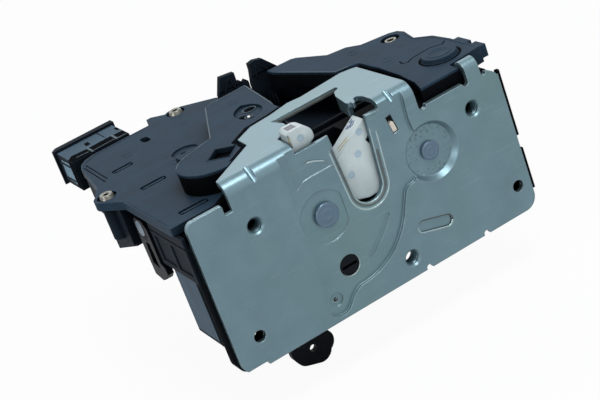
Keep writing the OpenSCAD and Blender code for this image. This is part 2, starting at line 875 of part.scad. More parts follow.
module actuator_housing() {
    top = cover_z - cover_t;
    color("#23272b")
    translate(shift)
        difference() {
            union() {
                tier(tray_z0, top) {
                    left_plan();
                    right_plan();
                }
                // side skirt over the latch housing
                translate([-rim - 0.1 - 1.2, 3.1, 36.8])
                    cube([1.2, 28, top - 36.8]);
                translate([-rim - 0.1 - 1.2, 30.4, 36.8])
                    cube([12, 2.2, top - 36.8]);
                // wedge below the side wall
                translate([-2.6, 0, 0])
                    rotate([90, 0, 90])
                        linear_extrude(height = 2.6)
                            polygon([[52.4, 46], [52.4, 38.2], [76.8, 30.3], [77.5, 46]]);
                connector_shell();
                prong([[60.6, tray_z0], [73.9, tray_z0], [73.9, 58.3], [72.8, 59.4], [71.8, 58.6],
                       [70.5, 60], [69.3, 59], [69.4, 64], [63.4, 64.7], [60.6, 58.1]]);
                prong([[74.9, tray_z0], [87.6, tray_z0], [87.6, 57.7], [82.1, 63.8], [78.7, 64.6],
                       [76.2, 64.1], [76.1, 61.5], [74.9, 56.1]]);
                for (p = screw_pts())
                    translate([p[0], p[1], tray_z0 + 2])
                        cylinder(h = top - tray_z0 - 2, r = screw_r + 1.8);
            }
            tier(tray_z0 + wall, top + 5)
                wall_plan(1.5);
            connector_socket();
            rod_x(cable_y, cable_z, -9, 1.6, cable_pin_r);
            // panels and line on the side skirt
            for (y = [5.4, 18.4])
                translate([-3, y, 39])
                    cube([1.5, 11.2, 9.6]);
            translate([-3, 3, 50])
                cube([1.5, 29, 0.6]);
            for (p = screw_pts())
                translate([p[0], p[1], tray_z0 + 3])
                    cylinder(h = 40, r = screw_r);
        }
}

function screw_pts() = [[-4, 59.5], [45, 103], [118.4, 57.2]];

// Outer form of the connector
module connector_shell() {
    translate([plug_x - plug_w / 2, plug_y, plug_z - plug_h / 2])
        cube([plug_w, plug_l, plug_h]);
    // collar with one corner taken off
    tier(plug_z - plug_h / 2 - 1, plug_z + plug_h / 2 + 1)
        translate([plug_x - plug_w / 2 - 1, plug_y + plug_l - 3.4])
            polygon([[0, 0], [plug_w + 2, 0], [plug_w + 2, 3.4], [2.2, 3.4], [0, 1.2]]);
    for (x = [7.4, 18])
        translate([x, 102.5, plug_z - plug_h / 2 + 1])
            cube([1.4, plug_y - 102, plug_h - 4.8]);
}

module connector_socket() {
    translate([plug_x - plug_w / 2 + plug_wall, plug_y + 2, plug_z - plug_h / 2 + plug_wall])
        cube([plug_w - 2 * plug_wall, plug_l, plug_h - 2 * plug_wall]);
    for (i = [-3 : 3], z = [-1.6, 1.6])
        translate([plug_x + i * 2.6 - 0.4, plug_y - 12, plug_z + z - 0.4])
            cube([0.8, 20, 0.8]);
    // notches in the upper face
    translate([plug_x - 2, plug_y + 7.8, plug_z + plug_h / 2 - 1])
        cube([0.8, 5.2, 2]);
    translate([plug_x + plug_w / 2 - 0.9, plug_y + 9.5, plug_z + plug_h / 2 - 1])
        cube([2, 4.3, 2]);
}

module terminals() {
    color("#c9b27a")
    translate(shift)
        for (i = [-3 : 3], z = [-1.6, 1.6])
            translate([plug_x + i * 2.6 - 0.4, plug_y - 0.5, plug_z + z - 0.4])
                cube([0.8, plug_l - 8, 0.8]);
}

// Plan of the left cover
module left_cover_plan() {
    difference() {
        union() {
            polygon([[-2.6, 7.6], [62, 7.6], [62, 94.5], [59.8, 97], [48.6, 106.4], [41, 106.4],
                     [40, 104], [9, 104], [5, 102.6], [2, 99.4], [0.4, 95], [0, 90], [-3.4, 68],
                     [-2.6, 50]]);
            translate([-4, 59.5])
                circle(r = 4.9);
            polygon([[-2.6, 48], [-7.6, 56.5], [-7.6, 62.5], [-2.6, 72], [2, 66], [2, 54]]);
            translate([45, 103])
                circle(r = 4.6);
            polygon([[33.6, 100], [39, 100], [42.6, 105.6], [37.4, 110.6], [35.4, 110.6]]);
        }
        flange_outline(flange_gap);
        square_from(flange_x0 - flange_gap, 0, 90, bend_r + 2.6);
        // room for the foot of the first prong
        square_from(60.4, 93.2, 70, 97);
    }
}

// Plan of the raised part behind the flange
module raised_plan() {
    difference() {
        polygon([[18.7, 41.4], [33.1, 41.6], [46.2, 72.1], [63.7, 72.8], [59.6, 41], [59.6, 30],
                 [40, 20], [20, 28]]);
        flange_outline(flange_gap);
    }
}

// Plan of the round boss
module boss_plan(r, g) {
    difference() {
        translate([26.4, 26])
            circle(r = r);
        flange_outline(flange_gap + g);
    }
}

module left_cover() {
    z0 = cover_z - cover_t;
    color("#3c4650")
    translate(shift)
        difference() {
            union() {
                tier(z0, cover_z)
                    left_cover_plan();
                tier(z0, raised_z)
                    raised_plan();
                tier(z0, raised_z)
                    boss_plan(boss_r, 0);
            }
            // shallow round recess with a pit, over the wheel's pin
            translate([29.6, 62.2, cover_z - 0.6])
                cylinder(h = 3, r = 5.2);
            translate([29, 62.6, cover_z - 1.6])
                cylinder(h = 3, r = 1.3);
            tier(cover_z - 0.5, cover_z + 1) {
                bar([1.1, 73], [1.7, 95.4], 0.3);
                bar([2.7, 74.4], [3.1, 96.6], 0.3);
            }
            tier(z0 - 1, raised_z - wall)
                boss_plan(boss_r - wall, 1.5);
            tier(z0 - 1, raised_z - wall)
                intersection() {
                    raised_plan();
                    polygon([[40, 42], [50, 70], [58.5, 70], [58.5, 42]]);
                }
            translate([key_x, key_y, z0 - 1])
                rotate(45)
                    translate([-key_hole / 2, -key_hole / 2, 0])
                        cube([key_hole, key_hole, 20]);
            for (p = [screw_pts()[0], screw_pts()[1]]) {
                translate([p[0], p[1], z0 - 1])
                    cylinder(h = 20, r = screw_r + 0.1);
                translate([p[0], p[1], cover_z - 1])
                    cylinder(h = 20, r = screw_head_r + 0.6);
            }
            for (p = [[10.1, 77, 8.4, 3.6], [10.7, 50, 10, 3.6], [10, 14.8, 11, 3.8]])
                tier(cover_z - 1.2, cover_z + 1)
                    round_rect([p[0] - p[2] / 2, p[1] - p[3] / 2], [p[0] + p[2] / 2, p[1] + p[3] / 2], 1.2);
            tier(z0 - 1, cover_z + 1)
                bar([26.5, 90.5], [26.5, 93.5], 1.6);
            // recess between two arcs on the raised part
            tier(raised_z - 0.9, raised_z + 1)
                translate([51.9, 47.7])
                    rotate(-9.2)
                        intersection_for(s = [-1, 1])
                            translate([s * 4.8, 0])
                                circle(r = 10);
        }
}

// Upright prong at the back edge, drawn as seen from the front
module prong(points) {
    slab(93.6, 96)
        polygon(points);
}

// Plan of the right cover
module right_cover_plan() {
    polygon([[96.4, 2.8], [112.5, 2.8], [112.5, 8.6], [127.5, 10.8], [127.5, 30], [126.6, 40],
             [122.6, 47], [124.8, 57], [124, 61], [121.4, 63], [110.4, 66], [106.4, 71],
             [99.2, 73], [92.4, 86.2], [90.6, 87.6], [80.2, 88.4], [80.4, 84], [91.4, 53.6],
             [96.9, 52.2], [100.1, 50.2], [100.6, 36.7], [100.1, 22.1], [99.2, 15.5],
             [98.6, 9.8]]);
}

// Winding groove on the right cover
module s_groove() {
    p = [[106.9, 32.7], [106.4, 29.8], [107.8, 28.5], [111, 30.2], [119.1, 30.8], [123.2, 28.5],
         [125.2, 29.9]];
    for (i = [0 : len(p) - 2])
        bar(p[i], p[i + 1], 0.35);
}

module right_cover() {
    z0 = cover_z - cover_t;
    screw = screw_pts()[2];
    color("#3c4650")
    translate(shift)
        difference() {
            union() {
                tier(z0, right_z)
                    right_cover_plan();
                translate([116, 19.5, right_z - e])
                    cylinder(h = 1.5 + e, r1 = 6.9, r2 = 6.3);
                for (y = [[9.6, 7.4], [18.6, 9.6]])
                    translate([127, y[0] + 1.4, right_z - 5])
                        cube([3, y[1] - 1.4, 4.6]);
            }
            tier(z0 - 1, right_z - 3)
                polygon([[103, 33], [120, 33], [120, 40], [113, 60], [98, 68], [90, 80], [88, 80],
                         [95, 56], [103, 54]]);
            tier(right_z - 0.7, right_z + 1)
                s_groove();
            translate([screw[0], screw[1], z0 - 1])
                cylinder(h = 20, r = screw_r + 0.1);
            translate([screw[0], screw[1], cover_z - 1])
                cylinder(h = 20, r = screw_head_r + 0.6);
        }
}

module cover_screws() {
    color("#b9b4a6")
    translate(shift)
        for (p = screw_pts())
            difference() {
                union() {
                    translate([p[0], p[1], tray_z0 + 4])
                        cylinder(h = cover_z - tray_z0 - 4, r = screw_r - 0.02);
                    translate([p[0], p[1], cover_z - 1])
                        cylinder(h = 1.9, r1 = screw_head_r, r2 = screw_head_r - 0.8);
                }
                translate([p[0], p[1], cover_z - 0.4])
                    cylinder(h = 3, r = 1.2, $fn = 6);
            }
}

module motor() {
    color("#8d9499")
    translate(shift)
        intersection() {
            union() {
                rod_y(worm_x, worm_z, 76, 76 + motor_l, motor_r);
                rod_y(worm_x, worm_z, 74.6, 76 + e, 2.6);
            }
            translate([worm_x - 20, 60, worm_z - motor_r + 0.8])
                cube([40, 60, 2 * motor_r - 1.6]);
        }
}

module worm() {
    color("#c8b98a")
    translate(shift)
        difference() {
            rod_y(worm_x, worm_z, 52, 74.2, worm_r);
            for (i = [0 : 6])
                translate([worm_x, 55 + 2.4 * i, worm_z])
                    rotate([-90, 0, 0])
                        difference() {
                            cylinder(h = 1, r = worm_r + 1);
                            cylinder(h = 1, r = worm_r - 0.9);
                        }
        }
}

module worm_wheel() {
    color("#d9dad2")
    translate(shift)
        translate([wheel_x, wheel_y, 0])
            difference() {
                union() {
                    tier(worm_z - 2.4, worm_z + 2.4) {
                        circle(r = wheel_r - 1);
                        for (i = [0 : wheel_teeth - 1])
                            rotate(i * 360 / wheel_teeth)
                                translate([wheel_r - 1.2, -0.5])
                                    square([1.2, 1]);
                    }
                    tier(worm_z - 4, worm_z + 4)
                        circle(r = 4.5);
                }
                translate([0, 0, 30])
                    cylinder(h = 30, r = 2 + run);
            }
}

module lock_arm() {
    color("#50585f")
    translate(shift)
        translate([wheel_x, wheel_y, 0])
            difference() {
                union() {
                    tier(worm_z + 4, worm_z + 6)
                        bar([0, 0], [18, -8], 3.6);
                    translate([18, -8, worm_z - 1])
                        cylinder(h = 6, r = 1.8);
                }
                translate([0, 0, 30])
                    cylinder(h = 30, r = 2 + run);
            }
}

module wheel_pin() {
    color("#8f979c")
    translate(shift)
        translate([wheel_x, wheel_y, tray_z0 + wall])
            cylinder(h = cover_z - cover_t - tray_z0 - wall, r = 2);
}

module key_cam() {
    color("#3a3f44")
    translate(shift)
        translate([key_x, key_y, 0])
            difference() {
                union() {
                    translate([0, 0, latch_z + gap])
                        cylinder(h = raised_z - wall - gap - latch_z - gap, r = 5.2);
                    translate([0, 0, latch_z - wall + 0.4])
                        cylinder(h = 3, r = 4);
                    tier(latch_z + gap, latch_z + gap + 2.2)
                        bar([0, 0], [-4.6, 0], 2.4);
                }
                translate([0, 0, latch_z + 3])
                    rotate(45)
                        translate([-2.6, -2.6, 0])
                            cube([5.2, 5.2, 20]);
            }
}

module fork_switch() {
    color("#17191b")
    translate(shift) {
        translate([12, mid_y + wall, 24])
            cube([14, 6, 8]);
        translate([26 - e, mid_y + wall + 1.5, 29])
            cube([3, 3, 1]);
    }
}

module pawl_switch() {
    x = plate_w + rim - wall - 14.1;
    color("#17191b")
    translate(shift) {
        translate([x, mid_y + wall, 38.5])
            cube([12, 6, 8]);
        translate([x - 2, mid_y + wall + 1.5, 39.5])
            cube([2 + e, 3, 1]);
    }
}

face_plate();
fork_pin();
pawl_pin();
latch_housing();
back_plate();
bump_stop();
fork_core();
fork_jacket();
fork_spring();
pawl();
pawl_spring();
release_lever();
release_pin();
lock_knob();
cable_lever();
cable_pin();
actuator_housing();
left_cover();
right_cover();
cover_screws();
motor();
worm();
worm_wheel();
lock_arm();
wheel_pin();
key_cam();
terminals();
fork_switch();
pawl_switch();
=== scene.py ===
"""Looks of a car door lock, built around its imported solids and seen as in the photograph."""
import logging
import math
from dataclasses import dataclass
from enum import Enum
from typing import ClassVar, Iterable, Sequence, Union

import bmesh
import bpy
from mathutils import Matrix, Vector


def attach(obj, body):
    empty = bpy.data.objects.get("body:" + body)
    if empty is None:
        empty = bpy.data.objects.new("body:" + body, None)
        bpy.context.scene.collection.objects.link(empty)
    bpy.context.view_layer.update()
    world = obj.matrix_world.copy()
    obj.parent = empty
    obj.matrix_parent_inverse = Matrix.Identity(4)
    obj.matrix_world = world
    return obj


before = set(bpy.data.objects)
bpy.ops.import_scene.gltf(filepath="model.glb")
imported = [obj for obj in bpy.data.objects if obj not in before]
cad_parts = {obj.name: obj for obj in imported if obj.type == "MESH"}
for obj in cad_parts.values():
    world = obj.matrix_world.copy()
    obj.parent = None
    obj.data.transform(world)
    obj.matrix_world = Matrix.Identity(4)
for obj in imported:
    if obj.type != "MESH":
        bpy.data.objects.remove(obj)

log = logging.getLogger("lock")

MM = 0.001
STRIKER_X = 64.5
STRIKER_Z = 42.2
TURN = 2.0 * math.pi
SHARP = math.radians(40.0)
UP, DOWN = Vector((0, 0, 1)), Vector((0, 0, -1))
FRONT, REAR = Vector((0, -1, 0)), Vector((0, 1, 0))
LEFT, RIGHT = Vector((-1, 0, 0)), Vector((1, 0, 0))

Triple = tuple[float, float, float]
Colour = Triple
Point = tuple[float, float]
Mesh = bmesh.types.BMesh


def at(x: float, y: float, z: float) -> Vector:
    """Turns millimetres from the plate's left bottom corner into the frame's metres.

    Args:
        x: Distance along the plate.
        y: Depth behind the plate's outer face.
        z: Height above the plate's lower edge.

    Returns:
        The point in the frame.
    """
    return Vector(((x - STRIKER_X) * MM, y * MM, (z - STRIKER_Z) * MM))


class Sock:
    """A node's output on which shader maths is written as Python expressions."""

    def __init__(self, tree: bpy.types.NodeTree, socket: bpy.types.NodeSocket) -> None:
        """Wraps one output socket of a node tree."""
        self.tree = tree
        self.socket = socket

    def math(self, operation: str, *others: "Feed", flip: bool = False) -> "Sock":
        """Adds one Math node.

        Args:
            operation: The Math node's operation.
            others: The remaining operands.
            flip: Puts this socket after the first of the others.

        Returns:
            The node's value.
        """
        operands: list[Feed] = [self, *others]
        if flip:
            operands[0], operands[1] = operands[1], operands[0]
        node = self.tree.nodes.new("ShaderNodeMath")
        node.operation = operation
        for place, operand in enumerate(operands):
            feed(self.tree, node.inputs[place], operand)
        return Sock(self.tree, node.outputs[0])

    def __add__(self, other: "Feed") -> "Sock":
        """Adds a value or a number."""
        return self.math("ADD", other)

    __radd__ = __add__

    def __sub__(self, other: "Feed") -> "Sock":
        """Takes a value or a number away."""
        return self.math("SUBTRACT", other)

    def __rsub__(self, other: "Feed") -> "Sock":
        """Takes this value away from a number."""
        return self.math("SUBTRACT", other, flip=True)

    def __mul__(self, other: "Feed") -> "Sock":
        """Multiplies by a value or a number."""
        return self.math("MULTIPLY", other)

    __rmul__ = __mul__

    def __gt__(self, other: "Feed") -> "Sock":
        """Gives 1 where this value is greater."""
        return self.math("GREATER_THAN", other)

    def clamped(self) -> "Sock":
        """Keeps the value between 0 and 1."""
        return self.math("MAXIMUM", 0.0).math("MINIMUM", 1.0)


Feed = Union[Sock, int, float, Sequence[float]]


def feed(tree: bpy.types.NodeTree, socket: bpy.types.NodeSocket, value: Feed) -> None:
    """Gives an input its link or its constant.

    Args:
        tree: The tree that holds the input.
        socket: The input.
        value: A wrapped output, a number, or numbers for a colour or a vector.
    """
    if isinstance(value, Sock):
        tree.links.new(value.socket, socket)
    elif isinstance(value, (int, float)):
        socket.default_value = value
    elif socket.type == "RGBA" and len(value) == 3:
        socket.default_value = (*value, 1.0)
    else:
        socket.default_value = tuple(value)


class Shader:
    """A node tree of a material or a world, with one method that adds any node."""

    edge_gain: ClassVar[float] = 3.0
    samples: ClassVar[int] = 6

    def __init__(self, name: str, world: bool = False) -> None:
        """Starts an empty tree."""
        self.kind = "World" if world else "Material"
        self.data = (bpy.data.worlds if world else bpy.data.materials).new(name)
        self.data.use_nodes = True
        self.tree = self.data.node_tree
        self.tree.nodes.clear()

    def node(self, kind: str, settings: dict[str, object] | None = None, output: Union[int, str] = 0,
             **inputs: Feed) -> Sock:
        """Adds a node.

        Args:
            kind: The node's type without the ShaderNode prefix.
            settings: Its properties.
            output: The output to return.
            inputs: Values or links, by the input's name with underscores for spaces, or by _ and its number.

        Returns:
            The chosen output.
        """
        node = self.tree.nodes.new("ShaderNode" + kind)
        for key, value in (settings or {}).items():
            setattr(node, key, value)
        for key, value in inputs.items():
            socket = node.inputs[int(key[1:])] if key[0] == "_" else node.inputs[key.replace("_", " ")]
            feed(self.tree, socket, value)
        return Sock(self.tree, node.outputs[output])

    def noise(self, scale: float, detail: float, rough: float, stretch: Feed = (1, 1, 1)) -> Sock:
        """Gives plain noise in the object's own coordinates.

        Args:
            scale: Waves per metre.
            detail: Octaves.
            rough: Share of the finer octaves.
            stretch: Scale along each axis.

        Returns:
            A value round 0.5.
        """
        own = self.node("Mapping", Vector=self.node("TexCoord", output="Object"), Scale=stretch)
        return self.node("TexNoise", Vector=own, Scale=scale, Detail=detail, Roughness=rough)

    def mix(self, share: Feed, low: Feed, high: Feed) -> Sock:
        """Mixes two colours."""
        return self.node("Mix", {"data_type": "RGBA"}, 2, _0=share, _6=low, _7=high)

    def softened(self, radius: float) -> Sock:
        """Gives the normal of an edge rounded by a radius in metres."""
        return self.node("Bevel", {"samples": self.samples}, Radius=radius)

    def edge(self, radius: float) -> Sock:
        """Gives 0 on flat ground and 1 on edges and corners, within a radius in metres."""
        own = self.node("NewGeometry", output="Normal")
        level = self.node("VectorMath", {"operation": "DOT_PRODUCT"}, "Value", _0=self.softened(radius), _1=own)
        return ((1.0 - level) * self.edge_gain).clamped()

    def shade(self, reach: float) -> Sock:
        """Gives 0 deep in a recess and 1 in the open, feeling walls within a reach in metres."""
        return self.node("AmbientOcclusion", {"samples": self.samples}, "AO", Distance=reach)

    def seen(self, camera: float, mirrored: float) -> Sock:
        """Marks the rays by which a surface is seen.

        Args:
            camera: Share for rays from the camera.
            mirrored: Share for rays that metal reflects or glass lets through.

        Returns:
            The share, 0 for the rays that only carry light.
        """
        straight, glossy, through = (self.node("LightPath", output=f"Is {kind} Ray")
                                     for kind in ("Camera", "Glossy", "Transmission"))
        return (straight * camera + (glossy + through) * mirrored).clamped()

    def finish(self, surface: Sock) -> Union[bpy.types.Material, bpy.types.World]:
        """Links the surface to the output and gives the material or world."""
        out = self.tree.nodes.new("ShaderNodeOutput" + self.kind)
        self.tree.links.new(surface.socket, out.inputs["Surface"])
        return self.data


def scaled(colour: Colour, factor: float, lift: float = 0.0) -> Colour:
    """Gives a colour times a factor plus a lift, at most 1."""
    return tuple(min(1.0, c * factor + lift) for c in colour)


@dataclass(frozen=True)
class Plated:
    """Zinc-plated or bare steel: satin, clouded, finely lined and paler along its edges, which are worn and carry a
    painted highlight.

    Attributes:
        name: The material's name.
        colour: Mean colour.
        metallic: Share of metal reflection.
        roughness: Mean roughness.
        clouds: Strength of the clouding.
        lines: Strength of the rolling lines.
        edge: Radius of the softened edges in metres.
        edge_wear_and_highlight: Strength of the paler edges, worn and painted highlight.
        stain: Colour of the passivation's tint.
    """

    name: str
    colour: Colour
    metallic: float = 0.85
    roughness: float = 0.4
    clouds: float = 0.12
    lines: float = 0.25
    edge: float = 0.0004
    edge_wear_and_highlight: float = 0.5
    stain: Colour = (0.30, 0.33, 0.26)

    def build(self) -> bpy.types.Material:
        """Makes the material."""
        sh = Shader(self.name)
        cloud = sh.noise(90.0, 4.0, 0.6)
        wide = sh.noise(28.0, 2.0, 0.5)
        line = sh.noise(1400.0, 2.0, 0.7, (0.05, 1.0, 1.0))
        speck = sh.noise(2600.0, 1.0, 0.5)
        scratch = sh.noise(520.0, 1.0, 0.4, (0.12, 1.0, 1.6)) > 0.68
        base = sh.mix(((cloud * 0.8 + line * 0.2 - 0.25) * 2.0).clamped(), scaled(self.colour, 1.0 - self.clouds),
                      scaled(self.colour, 1.0 + self.clouds))
        tint = tuple(c * t / max(self.stain) for c, t in zip(self.colour, self.stain))
        base = sh.mix(((wide - 0.5) * 1.6).clamped(), base, tint)
        # Paler edges: worn, and a painted highlight along them.
        worn_lit_edges = sh.edge(0.0005) * self.edge_wear_and_highlight
        base = sh.mix((worn_lit_edges + scratch * 0.06).clamped(), base, scaled(self.colour, 0.65, 0.35))
        rough = self.roughness + (cloud - 0.5) * 0.18 + (line - 0.5) * 0.1 - worn_lit_edges * 0.1
        grain = sh.node("Bump", Strength=self.lines, Distance=0.00002, Height=line * 0.5 + speck * 0.5,
                        Normal=sh.softened(self.edge))
        return sh.finish(sh.node("BsdfPrincipled", Base_Color=base, Metallic=self.metallic,
                                 Roughness=rough, Normal=grain))


@dataclass(frozen=True)
class Moulded:
    """Moulded plastic with a fine eroded grain, faint flow lines, paler edges that are worn and carry a painted
    highlight, dust on the level faces and painted shade in the recesses.

    Attributes:
        name: The material's name.
        colour: Mean colour.
        roughness: Mean roughness.
        grain: Strength of the grain.
        edge: Radius of the softened edges in metres.
        specular: Specular level.
        edge_wear_and_highlight: Strength of the paler edges, worn and painted highlight.
        dust: Strength of the dust on the level faces.
        recess_shade: Strength of the painted shade in the recesses.
    """

    name: str
    colour: Colour
    roughness: float = 0.42
    grain: float = 0.3
    edge: float = 0.0005
    specular: float = 0.5
    edge_wear_and_highlight: float = 0.25
    dust: float = 0.1
    recess_shade: float = 0.85

    def build(self) -> bpy.types.Material:
        """Makes the material."""
        sh = Shader(self.name)
        flow = sh.noise(60.0, 3.0, 0.6, (1.0, 2.5, 1.0))
        pits = sh.noise(2200.0, 2.0, 0.6)
        coarse = sh.noise(420.0, 3.0, 0.7)
        base = sh.mix((flow * 2.0 - 0.5).clamped(), scaled(self.colour, 0.8), scaled(self.colour, 1.25))
        # Paler edges: worn, and a painted highlight along them.
        worn_lit_edges = sh.edge(0.0006) * self.edge_wear_and_highlight
        up = sh.node("SeparateXYZ", output="Z", Vector=sh.node("NewGeometry", output="Normal"))
        settled = ((up - 0.5) * 2.0).clamped() * ((coarse - 0.45) * 3.0).clamped() * self.dust
        base = sh.mix((worn_lit_edges + settled).clamped(), base, scaled(self.colour, 2.6, 0.02))
        # Painted shade: darker deep in recesses and narrow gaps, where walls close in.
        painted_shade = ((1.0 - sh.shade(0.016)) * 1.5).clamped() * self.recess_shade
        base = sh.mix(painted_shade.clamped(), base, scaled(self.colour, 0.12))
        rough = self.roughness + (flow - 0.5) * 0.16 + (pits - 0.5) * 0.08 + settled * 0.3
        skin = sh.node("Bump", Strength=self.grain, Distance=0.00003, Height=pits * 0.7 + coarse * 0.3,
                       Normal=sh.softened(self.edge))
        return sh.finish(sh.node("BsdfPrincipled", Base_Color=base, Roughness=rough, Normal=skin,
                                 Specular_IOR_Level=self.specular))


class Finish(Enum):
    """The finishes of the lock's pieces."""

    SHEET = Plated("plated_sheet", (0.150, 0.236, 0.276), 0.76, 0.36, edge=0.0005, edge_wear_and_highlight=0.35)
    BACK_SHEET = Plated("back_sheet", (0.26, 0.30, 0.31), 0.8, 0.42)
    RIVET = Plated("plated_rivet", (0.11, 0.172, 0.238), 0.75, 0.34, edge=0.0005)
    # Paler plated steel that paints highlights: lit lines and the knob hole's lit wall.
    RUBBED = Plated("rubbed_edge", (0.36, 0.47, 0.49), 0.75, 0.3, edge_wear_and_highlight=0.6)
    # Dark plated steel: the real sheared edge, and lines of painted shade.
    SHEAR = Plated("sheared_edge_and_painted_shade", (0.10, 0.12, 0.12), 0.8, 0.5, clouds=0.3, lines=0.6)
    DARK_STEEL = Plated("dark_steel", (0.12, 0.13, 0.15), 0.9, 0.38)
    SPRING = Plated("spring_wire", (0.5, 0.5, 0.5), 0.95, 0.3)
    SCREW = Plated("screw_plating", (0.17, 0.17, 0.15), 0.95, 0.28, edge_wear_and_highlight=0.3)
    BRASS = Plated("brass", (0.62, 0.47, 0.22), 1.0, 0.3)
    BLACK_LEVER = Moulded("black_coating", (0.008, 0.010, 0.0136), 0.4, 0.1, 0.0003, 0.04, 0.2, 0.0)
    BODY = Moulded("latch_plastic", (0.008, 0.012, 0.016), 0.45, 0.35, 0.0006, 0.01, 0.6, 0.05)
    HOUSING = Moulded("housing_plastic", (0.011, 0.017, 0.025), 0.45, 0.35, 0.0005, 0.012, 0.6, 0.05)
    COVER = Moulded("cover_plastic", (0.023, 0.043, 0.068), 0.42, 0.6, 0.0006, 0.02, 0.8, 0.1)
    # Paler cover plastic that paints highlights on edges, rings and bridges.
    COVER_EDGE = Moulded("painted_highlight_plastic", (0.068, 0.100, 0.124), 0.36, 0.2, 0.0002, 0.06, 0.5, 0.0)
    # Near black that paints shade and shadow in gaps, pits, channels and under edges.
    FOAM = Moulded("painted_shade_black", (0.0048, 0.0058, 0.0074), 0.85, 1.0, 0.0004, 0.006, 0.1, 0.0)
    WHITE = Moulded("white_plastic", (0.55, 0.635, 0.65), 0.4, 0.12, 0.0007, 0.2, 0.1, 0.02, 0.5)
    MARK = Moulded("ejector_mark", (0.38, 0.50, 0.58), 0.42, 0.1, 0.0002, 0.1, 0.1, 0.0, 0.4)
    # Cream that paints the glint of the slanted slot's lit lower wall.
    GLINT_PAD = Moulded("painted_glint_plastic", (0.78, 0.71, 0.62), 0.42, 0.2, 0.0002, 0.2, 0.1, 0.0, 0.4)
    # Pale blue plastic that paints the light on the socket's left side.
    LIT_SIDE = Moulded("painted_light_side", (0.21, 0.33, 0.43), 0.45, 0.3, 0.0002, 0.02, 0.2, 0.0, 0.3)
    # Paler plastic that paints the light on the left wall and the socket's hood.
    WALL = Moulded("painted_light_plastic", (0.064, 0.104, 0.144), 0.42, 0.5, 0.0002, 0.02, 0.6, 0.1, 0.5)
    BINDER = Moulded("yellowed_plastic", (0.45, 0.40, 0.20), 0.45, 0.2, 0.0003)
    INK = Moulded("ink_mark", (0.10, 0.14, 0.24), 0.5, 0.2, 0.0002)
    RUBBER = Moulded("rubber", (0.006, 0.006, 0.007), 0.7, 0.3, 0.0005, 0.03)
    GEAR = Moulded("gear_plastic", (0.66, 0.66, 0.6), 0.4, 0.1)


NODE_FINISH: dict[Finish, tuple[str, ...]] = {
    Finish.SHEET: ("face_plate",),
    Finish.BACK_SHEET: ("back_plate",),
    Finish.RIVET: ("fork_pin", "pawl_pin", "release_pin", "cable_pin", "wheel_pin", "motor"),
    Finish.DARK_STEEL: ("fork_core", "pawl"),
    Finish.SPRING: ("fork_spring", "pawl_spring"),
    Finish.SCREW: ("cover_screws",),
    Finish.BRASS: ("worm", "terminals"),
    Finish.BLACK_LEVER: ("release_lever", "cable_lever", "key_cam", "lock_knob"),
    Finish.BODY: ("latch_housing",),
    Finish.HOUSING: ("actuator_housing", "lock_arm", "fork_switch", "pawl_switch"),
    Finish.COVER: ("left_cover", "right_cover"),
    Finish.WHITE: ("fork_jacket",),
    Finish.RUBBER: ("bump_stop",),
    Finish.GEAR: ("worm_wheel",),
}


def around(radius: float, angle: float) -> Point:
    """Gives the two sides of a radius at an angle in radians."""
    return radius * math.cos(angle), radius * math.sin(angle)


def line(points: Sequence[Sequence[float]], steps: int) -> list[Vector]:
    """Gives evenly spaced points along a broken line.

    Args:
        points: Its corners in millimetres from the plate's corner.
        steps: Number of pieces of each stretch.

    Returns:
        The points in metres.
    """
    corners = [at(*point) for point in points]
    dense = [low.lerp(high, k / steps) for low, high in zip(corners, corners[1:]) for k in range(steps)]
    return dense + [corners[-1]]


def skin(bm: Mesh, rows: Sequence[Sequence[bmesh.types.BMVert]], closed: bool = True) -> None:
    """Joins neighbouring rows of points with faces.

    Args:
        bm: The mesh that holds the points.
        rows: The rows, all of one length.
        closed: Joins each row's end to its start too.
    """
    for low, high in zip(rows, rows[1:]):
        for k in range(len(low) if closed else len(low) - 1):
            after = (k + 1) % len(low)
            bm.faces.new((low[k], low[after], high[after], high[k]))


def lathe(profile: Sequence[Point], centre: Vector, axis: Vector, steps: int = 64) -> Mesh:
    """Turns a profile about an axis.

    Args:
        profile: Radius and height of each point, in millimetres.
        centre: The foot of the axis, in metres.
        axis: The axis's direction.
        steps: Number of sides.

    Returns:
        The turned mesh.
    """
    bm = bmesh.new()
    turn = axis.to_track_quat("Z", "Y").to_matrix()
    rings: list[list[bmesh.types.BMVert]] = []
    for radius, height in profile:
        count = 1 if radius < 1e-6 else steps
        rings.append([bm.verts.new(centre + turn @ (Vector((*around(radius, TURN * k / steps), height)) * MM))
                      for k in range(count)])
    for low, high in zip(rings, rings[1:]):
        for k in range(steps):
            corners = (low[k % len(low)], low[(k + 1) % len(low)], high[(k + 1) % len(high)], high[k % len(high)])
            unique = list(dict.fromkeys(corners))
            if len(unique) > 2:
                bm.faces.new(unique)
    return bm


def sweep(path: Sequence[Vector], section: Sequence[Point], up: Vector, tip: float = 1.0) -> Mesh:
    """Draws a closed section along a path.

    Args:
        path: Points of the path, in metres.
        section: Points of the section in millimetres, across the path and along up.
        up: The section's upright direction.
        tip: Size of the section at both ends, as a share.

    Returns:
        The swept mesh with its ends closed.
    """
    bm = bmesh.new()
    rings: list[list[bmesh.types.BMVert]] = []
    last = len(path) - 1
    for k, point in enumerate(path):
        ahead = (path[min(k + 1, last)] - path[max(k - 1, 0)]).normalized()
        side = ahead.cross(up).normalized()
        rise = side.cross(ahead).normalized()
        size = tip if k in (0, last) else 1.0
        rings.append([bm.verts.new(point + (side * a * size + rise * b * size) * MM) for a, b in section])
    skin(bm, rings)
    bm.faces.new(list(reversed(rings[0])))
    bm.faces.new(rings[-1])
    return bm


